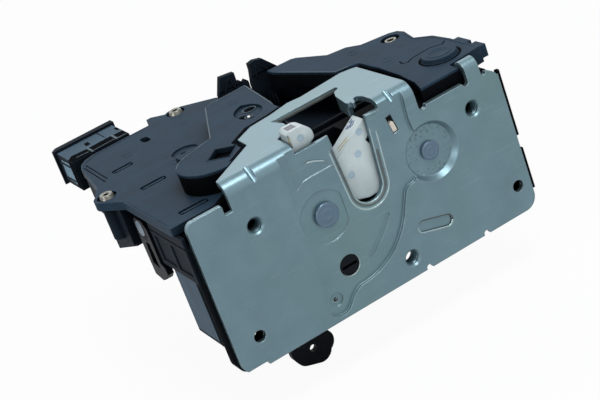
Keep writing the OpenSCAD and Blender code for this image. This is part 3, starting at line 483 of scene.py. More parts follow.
def bead(path: Sequence[Vector], half: float, rise: float, up: Vector, steps: int = 8, tip: float = 0.15) -> Mesh:
    """Draws a low crowned bead along a path.

    Args:
        path: Points of the path, in metres.
        half: Half of its width in millimetres.
        rise: Height over half width.
        up: The direction in which it stands up.
        steps: Number of sides of the crown.
        tip: Size of both ends, as a share.

    Returns:
        The bead.
    """
    crown = [around(half, math.pi * k / steps) for k in range(steps + 1)]
    return sweep(path, [(a, b * rise) for a, b in crown] + [(-half, -0.1), (half, -0.1)], up, tip)


def prism(outline: Sequence[Vector], depth: Vector) -> Mesh:
    """Draws a flat outline out to a closed solid.

    Args:
        outline: Corners of the outline in metres.
        depth: The way and distance that it is drawn, in millimetres.

    Returns:
        The solid.
    """
    bm = bmesh.new()
    low, high = ([bm.verts.new(p + depth * MM * share) for p in outline] for share in (0, 1))
    skin(bm, (low, high))
    bm.faces.new(list(reversed(low)))
    bm.faces.new(high)
    return bm


def merged(parts: Iterable[Mesh]) -> Mesh:
    """Joins several meshes in one.

    Args:
        parts: The meshes, which are freed.

    Returns:
        The joined mesh.
    """
    whole = bmesh.new()
    for part in parts:
        mesh = bpy.data.meshes.new("part")
        part.to_mesh(mesh)
        part.free()
        whole.from_mesh(mesh)
        bpy.data.meshes.remove(mesh)
    return whole


class Paints:
    """Builds each finish once and dresses objects with it."""

    def __init__(self) -> None:
        """Starts with no material built."""
        self.built: dict[Finish, bpy.types.Material] = {}

    def dress(self, obj: bpy.types.Object, finish: Finish) -> None:
        """Puts a finish on every slot of an object.

        Args:
            obj: The object.
            finish: Its finish.
        """
        if finish not in self.built:
            self.built[finish] = finish.value.build()
        if not obj.material_slots:
            obj.data.materials.append(self.built[finish])
        for slot in obj.material_slots:
            slot.material = self.built[finish]

    def piece(self, name: str, mesh: Mesh, body: str, slot: str, finish: Finish, bevel: float = 0.0) -> None:
        """Makes a dressed piece that rides on a body.

        Args:
            name: The piece's name.
            mesh: Its mesh, which is freed.
            body: The body that it rides on.
            slot: The record's material slot, not used.
            finish: Its finish.
            bevel: Width of its bevelled edges in millimetres.
        """
        bmesh.ops.recalc_face_normals(mesh, faces=mesh.faces)
        for face in mesh.faces:
            face.smooth = True
        data = bpy.data.meshes.new(name)
        mesh.to_mesh(data)
        mesh.free()
        obj = bpy.data.objects.new(name, data)
        bpy.context.scene.collection.objects.link(obj)
        if bevel > 0.0:
            round_off = obj.modifiers.new("bevel", "BEVEL")
            round_off.width = bevel * MM
            round_off.segments = 2
            round_off.limit_method = "ANGLE"
        else:
            data.set_sharp_from_angle(angle=SHARP)
        self.dress(obj, finish)
        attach(obj, body)
        log.info("made %s", name)

    def dress_nodes(self) -> None:
        """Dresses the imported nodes."""
        for finish, names in NODE_FINISH.items():
            for name in names:
                self.dress(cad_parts[name], finish)
                log.info("dressed %s", name)


Row = tuple[Union[str, Mesh, Finish, float], ...]


class Details:
    """Pieces of one sub-assembly, which ride on one body."""

    body: ClassVar[str] = "lock_body"

    def pieces(self) -> Iterable[Row]:
        """Gives each piece's name, mesh, material slot, finish and, where it has one, bevel."""
        raise NotImplementedError

    def build(self, paints: Paints) -> None:
        """Makes and dresses the pieces."""
        for name, mesh, slot, finish, *bevel in self.pieces():
            paints.piece(name, mesh, self.body, slot, finish, *bevel)


@dataclass
class PlateDetails(Details):
    """Rivet crowns, staking, threads, lines of painted highlight and painted shade, a painted glint and sheared edge of
    the face plate.

    Attributes:
        fork_head: Place and head radius of the fork bolt's pin, with its outer face's depth.
        pawl_head: The same of the pawl's pin.
        nibs: Number of nibs that the staking left.
        nib_turn: Angle from one nib to the next in radians.
        nib_ring: Width of the ring of nibs.
        nib_floor: Depth of the face that they stand on.
        threads: Places of the threaded holes.
        minor: Minor radius of the thread.
        pitch: Pitch of the thread.
        turns: Number of its turns.
        thread_start: Depth at which it starts.
        mouth: Left and right end and depth of the mouth's back edge.
        slot: Centre and half width of the slot.
        slot_lean: Lean of the slot's sides.
        dish: Place along the plate and radius of the slot's dish.
        dish_run: Width over which the dish falls by one millimetre.
        dish_depth: Its greatest depth.
        recess: Depth of the recess.
        knob: Place of the knob's hole.
        bean: Centres of the two ends of the bean-shaped hollow.
        bean_r: Radius of those ends.
    """

    fork_head: tuple[float, float, float, float] = (47.6, 37.3, 4.4, 0.4)
    pawl_head: tuple[float, float, float, float] = (91.7, 39.0, 3.35, 1.0)
    nibs: int = 46
    nib_turn: float = 2.4
    nib_ring: float = 4.6
    nib_floor: float = 2.0
    threads: tuple[Point, ...] = ((22.4, 47.0), (111.6, 45.5), (71.8, 7.0))
    minor: float = 2.5
    pitch: float = 1.0
    turns: float = 4.6
    thread_start: float = 0.95
    mouth: Triple = (51.4, 77.6, 28.3)
    slot: Triple = (65.6, 38.5, 5.6)
    slot_lean: float = math.radians(4.5)
    dish: Point = (64.7, 8.3)
    dish_run: float = 3.0
    dish_depth: float = 1.2
    recess: float = 1.2
    knob: Point = (49.3, 16.4)
    bean: tuple[Point, Point] = ((79.6, 15.4), (88.9, 12.8))
    bean_r: float = 2.3

    def crown(self, head: tuple[float, float, float, float]) -> Mesh:
        """Makes the pressed crown of a rivet head, from its place, radius and outer face's depth."""
        x, z, r, y = head
        profile = [(r + 0.03, -0.5), (r + 0.03, 0.02), (r - 0.25, 0.2), (r - 1.0, 0.27), (r - 1.25, 0.16),
                   (r - 1.7, 0.14), (r - 1.95, 0.28), (0.9, 0.33), (0.7, 0.2), (0.3, 0.16), (0.0, 0.16)]
        return lathe(profile, at(x, y, z), FRONT)

    def staking(self) -> Mesh:
        """Makes the nibs that the staking punch leaves round the pawl's pin."""
        x, z, r, _ = self.pawl_head
        nibs = []
        for k in range(self.nibs):
            t = self.nib_turn * k
            way, turn = (Vector((math.cos(a), 0, math.sin(a))) for a in (t, t + 0.9 * math.sin(3.0 * k)))
            start = at(x, self.nib_floor, z) + way * (r + 0.6 + self.nib_ring * math.sqrt((k + 1) / self.nibs)) * MM
            path = [start + turn * reach * MM for reach in (0.0, 0.5, 0.7 + 0.5 * (k % 3))]
            nibs.append(bead(path, 0.16 + 0.1 * (k % 4), 0.5, FRONT))
        return merged(nibs)

    def thread(self, x: float, z: float) -> Mesh:
        """Makes the helical ridge of the fixing hole at a place along and above the plate."""
        steps, half, proud, sunk = 36, 0.42, 0.3, -0.03
        bm = bmesh.new()
        rows = []
        for k in range(int(self.turns * steps) + 1):
            a, b = around(self.minor, TURN * k / steps)
            crest = at(x + a, self.thread_start + self.pitch * k / steps, z + b)
            inward = Vector((-a, 0, -b)).normalized()
            rows.append([bm.verts.new(crest + (REAR * shift + inward * lift) * MM)
                         for shift, lift in ((-half, sunk), (0.0, proud), (half, sunk))])
        skin(bm, rows, False)
        return bm

    def sheared(self) -> Mesh:
        """Makes the hatched shear zone on the cut edge behind the striker's mouth."""
        left, right, y = self.mouth
        low, count = 63.36, 150
        bm = bmesh.new()
        rows = []
        for k in range(count + 1):
            x = left + (right - left) * k / count
            proud = (0.03, 0.13, 0.05, 0.16)[k % 4]
            high = 64.55 + 0.12 * math.sin(0.9 * k) + 0.06 * math.sin(2.3 * k)
            rows.append([bm.verts.new(at(x, y + out, z))
                         for out, z in ((0.02, low), (-proud, low + 0.1), (-proud, high - 0.1), (0.02, high))])
        skin(bm, rows, False)
        return bm

    def slot_pad(self) -> Mesh:
        """Makes the cream pad that shows in the slanted slot, a painted glint of the slot's lit lower wall."""
        c, n = around(1.0, math.radians(10.0))
        outline = [at(81.3 + u * c - v * n, 1.5, 54.6 + u * n + v * c)
                   for u, v in ((-1.02, -3.25), (1.02, -3.25), (1.02, 0.2), (0.3, 0.9), (-1.02, 0.3))]
        return prism(outline, REAR * 2.0)

    def slot_line(self, out: float, left: float, right: float, half: float, rise: float) -> Mesh:
        """Makes one thin bead that follows the slot's dished edge; the pieces dress such beads as lines of painted
        highlight and of painted shade.

        Args:
            out: Distance outside the slot's edge.
            left: Upper end at the left.
            right: Upper end at the right.
            half: Half the line's width.
            rise: Its height over its half width.

        Returns:
            The line.
        """
        x0, z0, r = self.slot
        c, n = around(1.0, self.slot_lean)
        sides = [[(x0 + side * ((r + out) * c + k * n), z0 - (r + out) * n + k * c)
                  for k in (j * (top - z0) / 16.0 for j in range(17))] for side, top in ((-1.0, left), (1.0, right))]
        lean, steps = self.slot_lean, 24
        bowl = [around(r + out, math.pi + lean + (math.pi - 2.0 * lean) * k / steps) for k in range(1, steps)]
        points = []
        for x, z in sides[0][::-1] + [(x0 + a, z0 + b) for a, b in bowl] + sides[1]:
            away = math.hypot(x - self.dish[0], min(0.0, z - z0)) * c - max(0.0, z - z0) * n
            fall = max(0.0, (self.dish[1] - away) / self.dish_run)
            points.append(at(x, self.recess + min(self.dish_depth, fall), z))
        return bead(points, half, rise, FRONT)

    def bean_rim(self, upper: bool) -> Mesh:
        """Makes a bead on the upper or the lower edge of the bean-shaped hollow; the upper one carries painted shade,
        the lower a painted highlight.
        """
        (x0, z0), (x1, z1) = self.bean
        tilt = math.atan2(z1 - z0, x1 - x0)
        points = []
        for (x, z), first, last in zip(self.bean, *(((150.0, 80.0), (100.0, -10.0)) if upper
                                                    else ((170.0, 275.0), (265.0, 370.0)))):
            for k in range(9):
                a, b = around(self.bean_r, math.radians(first + (last - first) * k / 8) + tilt)
                points.append(at(x + a, 0.45, z + b))
        return bead(points, 0.34, 0.9, FRONT)

    def faint_arc(self) -> Mesh:
        """Makes the faint second line over the step in the recess, a bead that carries a painted highlight."""
        places = ((46.6, 57.2), (48.0, 57.1), (49.6, 56.7), (51.2, 56.0), (52.7, 55.3), (54.0, 54.5))
        return bead([at(x, self.recess, z) for x, z in places], 0.3, 0.35, FRONT)

    def knob_rim(self) -> Mesh:
        """Makes the bright crescent at the knob hole's lower right wall, a painted highlight."""
        x, z = self.knob
        radius, thick, first, turn, front, steps = 3.96, 0.33, -150.0, 190.0, 1.02, 24
        outline = []
        for depth, run in ((0.0, range(steps + 1)), (1.0, range(steps, -1, -1))):
            for k in run:
                r = radius - depth * (0.03 + thick * math.sin(math.pi * k / steps))
                a, b = around(r, math.radians(first + turn * k / steps))
                outline.append(at(x + a, front, z + b))
        return prism(outline, REAR * 0.2)

    def pieces(self) -> Iterable[Row]:
        """Gives the plate's pieces."""
        # Painted highlight on the knob hole's lit lower right wall.
        yield "knob_hole_rim", self.knob_rim(), "face_plate", Finish.RUBBED
        # Lines of painted highlight along the slot's dished edge, the bean's lower edge and the step in the recess.
        rims = merged([self.slot_line(2.3, 57.5, 56.0, 0.3, 0.5), self.slot_line(0.3, 58.0, 58.0, 0.22, 0.6),
                       self.bean_rim(False), self.faint_arc()])
        yield "rubbed_edges", rims, "face_plate", Finish.RUBBED
        # Lines of painted shade along the slot's dished edge and the bean's upper edge.
        shaded = merged([self.slot_line(1.15, 58.0, 50.0, 0.5, 0.3), self.bean_rim(True)])
        yield "drawn_lines", shaded, "face_plate", Finish.SHEAR
        yield "fork_pin_crown", self.crown(self.fork_head), "fork_pin", Finish.RIVET
        yield "pawl_pin_crown", self.crown(self.pawl_head), "pawl_pin", Finish.RIVET
        yield "staking_marks", self.staking(), "face_plate", Finish.SHEET
        for number, (x, z) in enumerate(self.threads):
            yield f"thread_{number}", self.thread(x, z), "face_plate", Finish.SHEET
        yield "shear_zone", self.sheared(), "face_plate", Finish.SHEAR
        # The pad's cream colour is a painted glint of the slot's lit lower wall.
        yield "slot_pad", self.slot_pad(), "pawl_spring", Finish.GLINT_PAD, 0.3


@dataclass
class ForkDetails(Details):
    """Witness slits, ink, ejector marks and skin of the fork bolt's white jacket.

    Attributes:
        pivot: The fork bolt's pivot.
        foot: Start of the lower jaw's mouth face from the pivot.
        slant: Direction of the mouth.
        front: Depth of the jacket's front face.
    """

    body = "fork_bolt"
    pivot: Point = (47.6, 37.3)
    foot: Point = (7.88, 11.81)
    slant: float = math.radians(33.0)
    front: float = 3.8

    def near(self, x: float, y: float, z: float) -> Vector:
        """Gives a point from its distances to the pivot and its depth, in metres."""
        return at(self.pivot[0] + x, y, self.pivot[1] + z)

    def on_face(self, along: float, depth: float) -> Vector:
        """Gives a point on the lower jaw's mouth face from its distance to the foot and its depth."""
        a, b = around(along, self.slant)
        return self.near(self.foot[0] + a, depth, self.foot[1] + b)

    def stroke(self, path: Sequence[Vector], half: float, rise: float) -> Mesh:
        """Makes a thin stroke on the mouth face."""
        return bead(path, half, rise, Vector((-math.sin(self.slant), 0, math.cos(self.slant))))

    def slit(self, start: Point, end: Point) -> Mesh:
        """Makes a slit in which the core's binder shows, between two places on the mouth face."""
        return self.stroke([self.on_face(*(p + (q - p) * k / 6 for p, q in zip(start, end))) for k in range(7)],
                           0.28, 0.25)

    def ink(self) -> Mesh:
        """Makes the ink smudge at the lower jaw's tip."""
        strokes = ((15.2, 19.2, 8.6, 0.5), (16.0, 19.4, 7.6, 0.35), (15.0, 17.0, 9.6, 0.3), (17.6, 19.6, 9.7, 0.4))
        return merged([self.stroke([self.on_face(start + (end - start) * k / 5, depth + 0.3 * math.sin(2.0 * k))
                                    for k in range(6)], half, 0.08) for start, end, depth, half in strokes])

    def discs(self, places: Sequence[Point], profile: Sequence[Point], depth: float) -> Mesh:
        """Makes one turned disc at each place of the front face."""
        return merged([lathe(profile, self.near(x, depth, z), FRONT, 32) for x, z in places])

    def shell(self) -> Mesh:
        """Makes the white skin over the core's edge at the upper jaw's back."""
        line_in = ((-9.4, 14.0), (-5.6, 22.0), (-1.9, 25.8), (-1.9, 30.1), (-0.9, 31.1), (2.5, 31.1))
        line_out = ((-9.7, 14.0), (-5.85, 22.15), (-2.2, 25.95), (-2.2, 30.25), (-1.05, 31.37), (2.5, 31.37))
        return prism([self.near(x, self.front + 0.9, z) for x, z in line_in + line_out[::-1]], REAR * 5.2)

    def pieces(self) -> Iterable[Row]:
        """Gives the jacket's pieces."""
        seam = bead([self.near(x, self.front, z) for x, z in ((-2.2, 30.3), (-2.1, 28.6), (-2.2, 26.3))],
                    0.22, 0.3, FRONT)
        slits = merged([self.slit((7.1, 6.3), (13.0, 4.6)), self.slit((8.0, 7.6), (13.4, 6.2)), seam])
        plugs = self.discs(((3.2, 28.0), (17.6, 14.8), (14.6, 9.6), (9.6, 1.4)),
                           ((1.5, 0.28), (1.42, 0.315), (0.6, 0.32), (0.0, 0.32)), self.front + 0.3)
        marks = self.discs(((1.9, 27.8), (22.4, 19.6), (19.4, 12.6), (14.6, 7.0)),
                           ((1.3, -0.04), (1.3, 0.03), (1.12, 0.07), (0.98, 0.03), (0.0, 0.02)), self.front)
        return (("jacket_slits", slits, "fork_jacket", Finish.BINDER),
                ("jacket_ink", self.ink(), "fork_jacket", Finish.INK),
                ("jacket_plugs", plugs, "fork_jacket", Finish.WHITE),
                ("jacket_ejector_marks", marks, "fork_jacket", Finish.MARK),
                ("jacket_skin", self.shell(), "fork_jacket", Finish.WHITE, 0.12))


@dataclass
class HousingDetails(Details):
    """Bands of painted shade, a wall panel of painted light, wall lines and back ribs of the latch housing.

    Attributes:
        width: Length of the face plate.
        rim: Amount that the housing stands past the plate's ends.
        seal: Front and back depth of the band of painted shade.
        proud: Thickness of that band outside the housing.
        back: Depth of the back plate's rear face.
    """

    width: float = 125.0
    rim: float = 0.6
    seal: Point = (2.15, 6.6)
    proud: float = 0.3
    back: float = 30.0

    def band(self, x: float, way: Vector, low: float, high: float) -> Mesh:
        """Makes one stretch of the band of painted shade.

        Args:
            x: Outer face of the housing.
            way: The direction in which it stands out.
            low: Lower end.
            high: Upper end.

        Returns:
            The stretch.
        """
        front, back = self.seal
        y, half = (back + front) / 2, (back - front) / 2
        section = [(-half, -0.05), (half, -0.05), (half, self.proud * 0.7), (half - 0.3, self.proud),
                   (0.0, self.proud * 0.85), (0.3 - half, self.proud), (-half, self.proud * 0.7)]
        return sweep(line(((x, y, low), (x, y, high)), 24), section, way)

    def end_seal(self) -> Mesh:
        """Makes the dark strip that shows past the plate's right end, painted shade beside the housing's rim."""
        x = self.width + 0.02
        return merged([sweep(line(((x, 1.2, low), (x, 1.2, high)), 16),
                             [(-0.9, -0.02), (0.9, -0.02), (0.8, 1.15), (-0.8, 1.15)], RIGHT)
                       for low, high in ((6.5, 22.6), (27.8, 53.4))])

    def wall_panel(self) -> Mesh:
        """Makes the smooth panel of the left wall, whose paler finish is painted light."""
        corners = ((10.2, 11.4), (26.6, 11.4), (27.6, 12.4), (27.6, 37.6), (10.2, 37.6))
        return prism([at(-self.rim, y, z) for y, z in corners], LEFT * 0.12)

    def beads(self) -> Mesh:
        """Makes the stiffening beads pressed in the back plate."""
        ends = (((12.0, 16.0), (36.0, 16.0)), ((12.0, 24.0), (33.0, 30.0)), ((72.0, 14.5), (108.0, 14.5)),
                ((100.0, 22.0), (114.0, 34.0)), ((14.0, 44.5), (36.0, 44.5)))
        return merged([bead(line([(x, self.back, z) for x, z in pair], 12), 1.5, 0.45, REAR) for pair in ends])

    def ribs(self) -> Mesh:
        """Makes the ribs of the housing's lower side, left and right of the levers."""
        section = [(-0.6, -0.1), (0.6, -0.1), (0.45, 1.6), (-0.45, 1.6)]
        low, step, clear = 8.5, 13.4, (30.0, 70.0)
        return merged([sweep(line(((x, 9.5, low), (x, 26.5, low)), 5), section, DOWN)
                       for x in (6.0 + step * k for k in range(9)) if not clear[0] < x < clear[1]])

    def pieces(self) -> Iterable[Row]:
        """Gives the housing's pieces."""
        left, right = -self.rim, self.width + self.rim
        # Near-black bands along both sides paint the shade of the gap between the plate and the housing.
        seal = merged([self.band(left, LEFT, 4.6, 36.4), self.band(right, RIGHT, 4.6, 28.0),
                       self.band(right, RIGHT, 31.0, 52.0)])
        lines = merged([bead(line(((left, y, 9.6), (left, y, 35.6)), 8), 0.18, 0.9, LEFT, 5) for y in (8.5, 9.4)])
        # The wall panel's paler finish is painted light; the end strip and side bands are painted shade.
        return (("wall_panel", self.wall_panel(), "latch_housing", Finish.WALL),
                ("end_seal", self.end_seal(), "latch_housing", Finish.FOAM),
                ("foam_seal", seal, "latch_housing", Finish.FOAM),
                ("wall_lines", lines, "latch_housing", Finish.BODY),
                ("back_plate_beads", self.beads(), "back_plate", Finish.BACK_SHEET),
                ("housing_ribs", self.ribs(), "latch_housing", Finish.BODY, 0.2))


@dataclass
class CoverDetails(Details):
    """Screw recesses, key collar, seams and marks of the two covers, with painted highlights on edges and rings and
    painted shade in gaps, pits and under edges.

    Attributes:
        screws: Place of each housing screw in plan, and its head's height over the left cover's.
        cover: Height of the left cover.
        raised: Height of its raised part.
        hollow: Height of the floor of the raised part's recess.
        right: Height of the right cover.
        disc: Centre of the right cover's disc in plan.
        key: Centre of the square hole in plan.
        half: Half the side of the square hole.
        boss: Centre of the boss in plan.
        flange: Depth of the flange's back edge.
        wall_foot: Height of the foot of the wall below the right cover.
    """

    screws: tuple[Triple, ...] = ((-4.0, 59.5, 0.0), (45.0, 103.0, 0.0), (118.4, 57.2, 1.6))
    cover: float = 57.3
    raised: float = 65.0
    hollow: float = 64.1
    right: float = 60.3
    disc: Point = (116.0, 19.5)
    key: Point = (29.5, 25.0)
    half: float = 4.0
    boss: Point = (26.4, 26.0)
    flange: float = 36.5
    wall_foot: float = 54.4

    def screw_ring(self, x: float, y: float, lift: float) -> Mesh:
        """Makes the rolled ring and star recess wall of a screw head.

        Args:
            x: Place of the screw along the plate.
            y: Its depth.
            lift: Height of its head over the left cover's.

        Returns:
            The ring with its recess.
        """
        head = at(x, y, self.cover + lift)
        ring = lathe([(2.35, 0.82 - lift), (2.3, 0.98), (1.95, 1.05), (1.6, 1.0), (1.32, 0.9), (1.25, 0.4),
                      (1.1, -0.2)], head, UP, 48)
        star = bmesh.new()
        turns = [TURN * k / 36 for k in range(36)]
        skin(star, [[star.verts.new(head + Vector((*around(1.06 + 0.14 * math.cos(6.0 * t), t), z)) * MM)
                     for t in turns] for z in (0.88, -0.3)])
        return merged([ring, star])

    def collar(self) -> Mesh:
        """Makes the thin raised frame of the square key hole."""
        sides = []
        for k, out in enumerate((0.2, 0.45, 0.45, 0.2)):
            ends = (around((self.half + out) * math.sqrt(2.0), TURN * j / 4) for j in (k, k + 1))
            path = line([(self.key[0] + a, self.key[1] + b, self.raised) for a, b in ends], 4)
            sides.append(bead(path, 0.2, 0.8, UP, 4, 1.0))
        return merged(sides)

    def ejectors(self) -> Mesh:
        """Makes the faint rings that the ejector pins left."""
        places = ((16.0, 86.0, self.cover), (42.0, 88.0, self.cover), (53.0, 62.5, self.raised),
                  (22.5, 58.0, self.cover), (106.0, 40.0, self.right), (104.0, 62.0, self.right))
        ring = [(1.9, -0.05), (1.9, 0.02), (1.8, 0.09), (1.65, 0.03), (1.6, -0.05)]
        return merged([lathe(ring, at(*place), UP, 40) for place in places])

    def strips(self, runs: Sequence[tuple[Sequence[Point], float]], steps: int, half: float, rise: float,
               sides: int) -> Mesh:
        """Makes beads on level faces.

        Args:
            runs: Corners in plan and height of each bead.
            steps: Number of pieces of each stretch.
            half: Half of the width.
            rise: Height over half width.
            sides: Number of sides of the crown.

        Returns:
            The beads.
        """
        return merged([bead(line([(x, y, z) for x, y in points], steps), half, rise, UP, sides)
                       for points, z in runs])

    def seams(self) -> Mesh:
        """Makes the raised welding line along the covers' outer edges."""
        return self.strips(((((-1.8, 10.0), (-1.8, 46.0)), self.cover),
                            (((1.4, 72.0), (2.0, 95.0), (3.4, 99.2), (9.6, 103.0), (33.0, 103.2)), self.cover),
                            (((126.6, 13.0), (126.6, 29.0), (125.6, 39.6), (121.8, 46.6), (123.8, 56.6)),
                             self.right)), 6, 0.22, 0.7, 5)

    def edges(self) -> Mesh:
        """Makes the painted highlights along the edges of the raised part, the line across it to the boss and the right
        cover's front edge.
        """
        return self.strips(((((46.2, 72.0), (40.0, 57.6), (33.2, 41.7), (26.5, 39.1), (21.0, 37.6), (17.2, 35.4),
                              (14.4, 31.6)), self.raised),
                            (((46.4, 72.1), (63.6, 72.6), (61.7, 57.0), (59.8, 42.4)), self.raised),
                            (((80.6, 83.6), (91.4, 53.7), (96.8, 52.3)), self.right)), 5, 0.26, 0.6, 6)

    def recess_cups(self) -> Mesh:
        """Makes the ring and the cup in the recess of the raised part, which carry a painted highlight."""
        ring = ((2.7, -0.05), (2.65, 0.2), (2.4, 0.35), (2.15, 0.2), (2.1, -0.05))
        cup = ((1.7, -0.05), (1.65, 0.3), (1.4, 0.4), (1.15, 0.25), (1.0, -0.05))
        return merged([lathe(profile, at(x, y, self.hollow), UP, 40)
                       for profile, x, y in ((ring, 53.9, 50.9), (cup, 50.4, 44.6))])

    def pits(self) -> Mesh:
        """Makes the painted shade of the pits in the recess of the raised part and of the groove round the disc, as
        flat black discs and a black ring.
        """
        return merged([lathe([(2.1, -0.05), (2.0, 0.05), (0.0, 0.08)], at(53.9, 50.9, self.hollow), UP, 32),
                       lathe([(1.9, -0.05), (1.8, 0.06), (0.0, 0.1)], at(49.0, 46.6, self.hollow), UP, 32),
                       lathe([(7.9, -0.02), (7.8, 0.03), (6.95, 0.03), (6.9, -0.02)], at(*self.disc, self.right), UP)])

    def slot_bars(self) -> Mesh:
        """Makes the ribs that stand in the long slots, with a bead at each end."""
        z = self.cover - 1.2
        parts = []
        for x, y, length in ((10.1, 77.0, 8.4), (10.7, 50.0, 10.0), (10.0, 14.8, 11.0)):
            reach = length / 2 - 1.3
            parts.append(sweep(line(((x - reach, y, z), (x + reach, y, z)), 6),
                               [(-0.7, -0.05), (0.7, -0.05), (0.55, 1.05), (-0.55, 1.05)], UP))
            parts += [lathe([(0.6, -0.05), (0.5, 1.1), (0.25, 1.3), (0.0, 1.35)],
                            at(x + side * (length / 2 - 0.9), y, z), UP, 20) for side in (-1.0, 1.0)]
        return merged(parts)

    def boss_wall_shade(self) -> Mesh:
        """Makes the painted shade on the boss's wall, a dark band round the boss."""
        arcs = [[around(r, math.radians(150.0 + 114.0 * k / 40)) for k in range(41)] for r in (13.18, 13.32)]
        return prism([at(self.boss[0] + a, self.boss[1] + b, self.cover) for a, b in arcs[0] + arcs[1][::-1]], UP * 6.7)

    def flange_line(self, grow: float) -> list[Vector]:
        """Gives the flange's left outline in plan, grown outward."""
        g, y = grow, self.flange
        return [Vector(place) for place in (
            (17.0 - g, 5.0 + 0.3 * g), (37.0 - 0.8 * g, 20.0 + 0.6 * g), (37.5 - g, 28.0 + 0.4 * g),
            (45.2 - 0.5 * g, y - 3.5 + g), (54.0, y - 2.4 + g), (59.4, y - 1.0 + g))]

    def gap_bands(self) -> Mesh:
        """Makes the painted shadow in the gap between the covers and the flange, as dark bands."""
        sides = {}
        for grow in (1.32, 2.3, 4.2):
            first, second, *rest = self.flange_line(grow)
            sides[grow] = ([first.lerp(second, 0.62), second, *rest], [first.lerp(second, s) for s in (0.02, 0.46)])
        return merged([prism([at(q.x, q.y, top) for q in sides[1.32][kind] + sides[far][kind][::-1]], UP * 0.07)
                       for far, top, kind in ((2.3, self.raised, 0), (4.2, self.cover, 1))])

    def underlay(self) -> Mesh:
        """Makes the painted shade below the right cover's front edges, a black wall on the housing that stands before
        them.
        """
        line_in = ((112.4, 2.8), (96.4, 2.8), (98.6, 9.8), (99.2, 15.5), (100.1, 22.1), (100.6, 36.7), (100.1, 50.2),
                   (96.9, 52.2), (91.4, 53.6), (80.4, 84.0), (80.2, 88.0))
        line_out = ((112.4, 2.5), (96.0, 2.5), (98.3, 9.9), (98.9, 15.6), (99.8, 22.2), (100.3, 36.7), (99.8, 50.0),
                    (96.75, 51.9), (91.15, 53.3), (80.1, 83.9), (79.9, 88.0))
        return prism([at(x, y, self.wall_foot) for x, y in line_in + line_out[::-1]],
                     UP * (self.right - 1.1 - self.wall_foot))

    def pieces(self) -> Iterable[Row]:
        """Gives the covers' pieces."""
        rings = merged([self.screw_ring(*screw) for screw in self.screws])
        pin = lathe([(0.7, -0.05), (0.65, 0.4), (0.45, 0.6), (0.0, 0.68)], at(50.4, 44.6, self.hollow), UP, 24)
        steps = lathe([(6.3, -0.1), (6.25, 0.05), (5.9, 0.1), (5.6, 0.02), (4.4, 0.02), (4.2, 0.16), (3.9, 0.18),
                       (3.6, 0.04), (0.0, 0.04)], at(*self.disc, self.right + 1.5), UP)
        return (("screw_recesses", rings, "cover_screws", Finish.SCREW),
                ("key_collar", self.collar(), "left_cover", Finish.COVER),
                ("ejector_rings", self.ejectors(), "left_cover", Finish.COVER),
                ("cover_seams", self.seams(), "left_cover", Finish.COVER),
                # Painted shade: the boss band, the gap bands, the pits and the underlay.
                ("boss_band", self.boss_wall_shade(), "left_cover", Finish.FOAM),
                ("gap_bands", self.gap_bands(), "left_cover", Finish.FOAM),
                ("slot_bars", self.slot_bars(), "left_cover", Finish.COVER),
                # The cover edges and the recess rings carry a painted highlight.
                ("cover_edges", self.edges(), "left_cover", Finish.COVER_EDGE),
                ("recess_rings", self.recess_cups(), "left_cover", Finish.COVER_EDGE),
                ("recess_pits", self.pits(), "left_cover", Finish.FOAM),
                ("recess_pin", pin, "left_cover", Finish.SPRING),
                ("cover_underlay", self.underlay(), "actuator_housing", Finish.FOAM),
                ("disc_steps", steps, "right_cover", Finish.COVER))


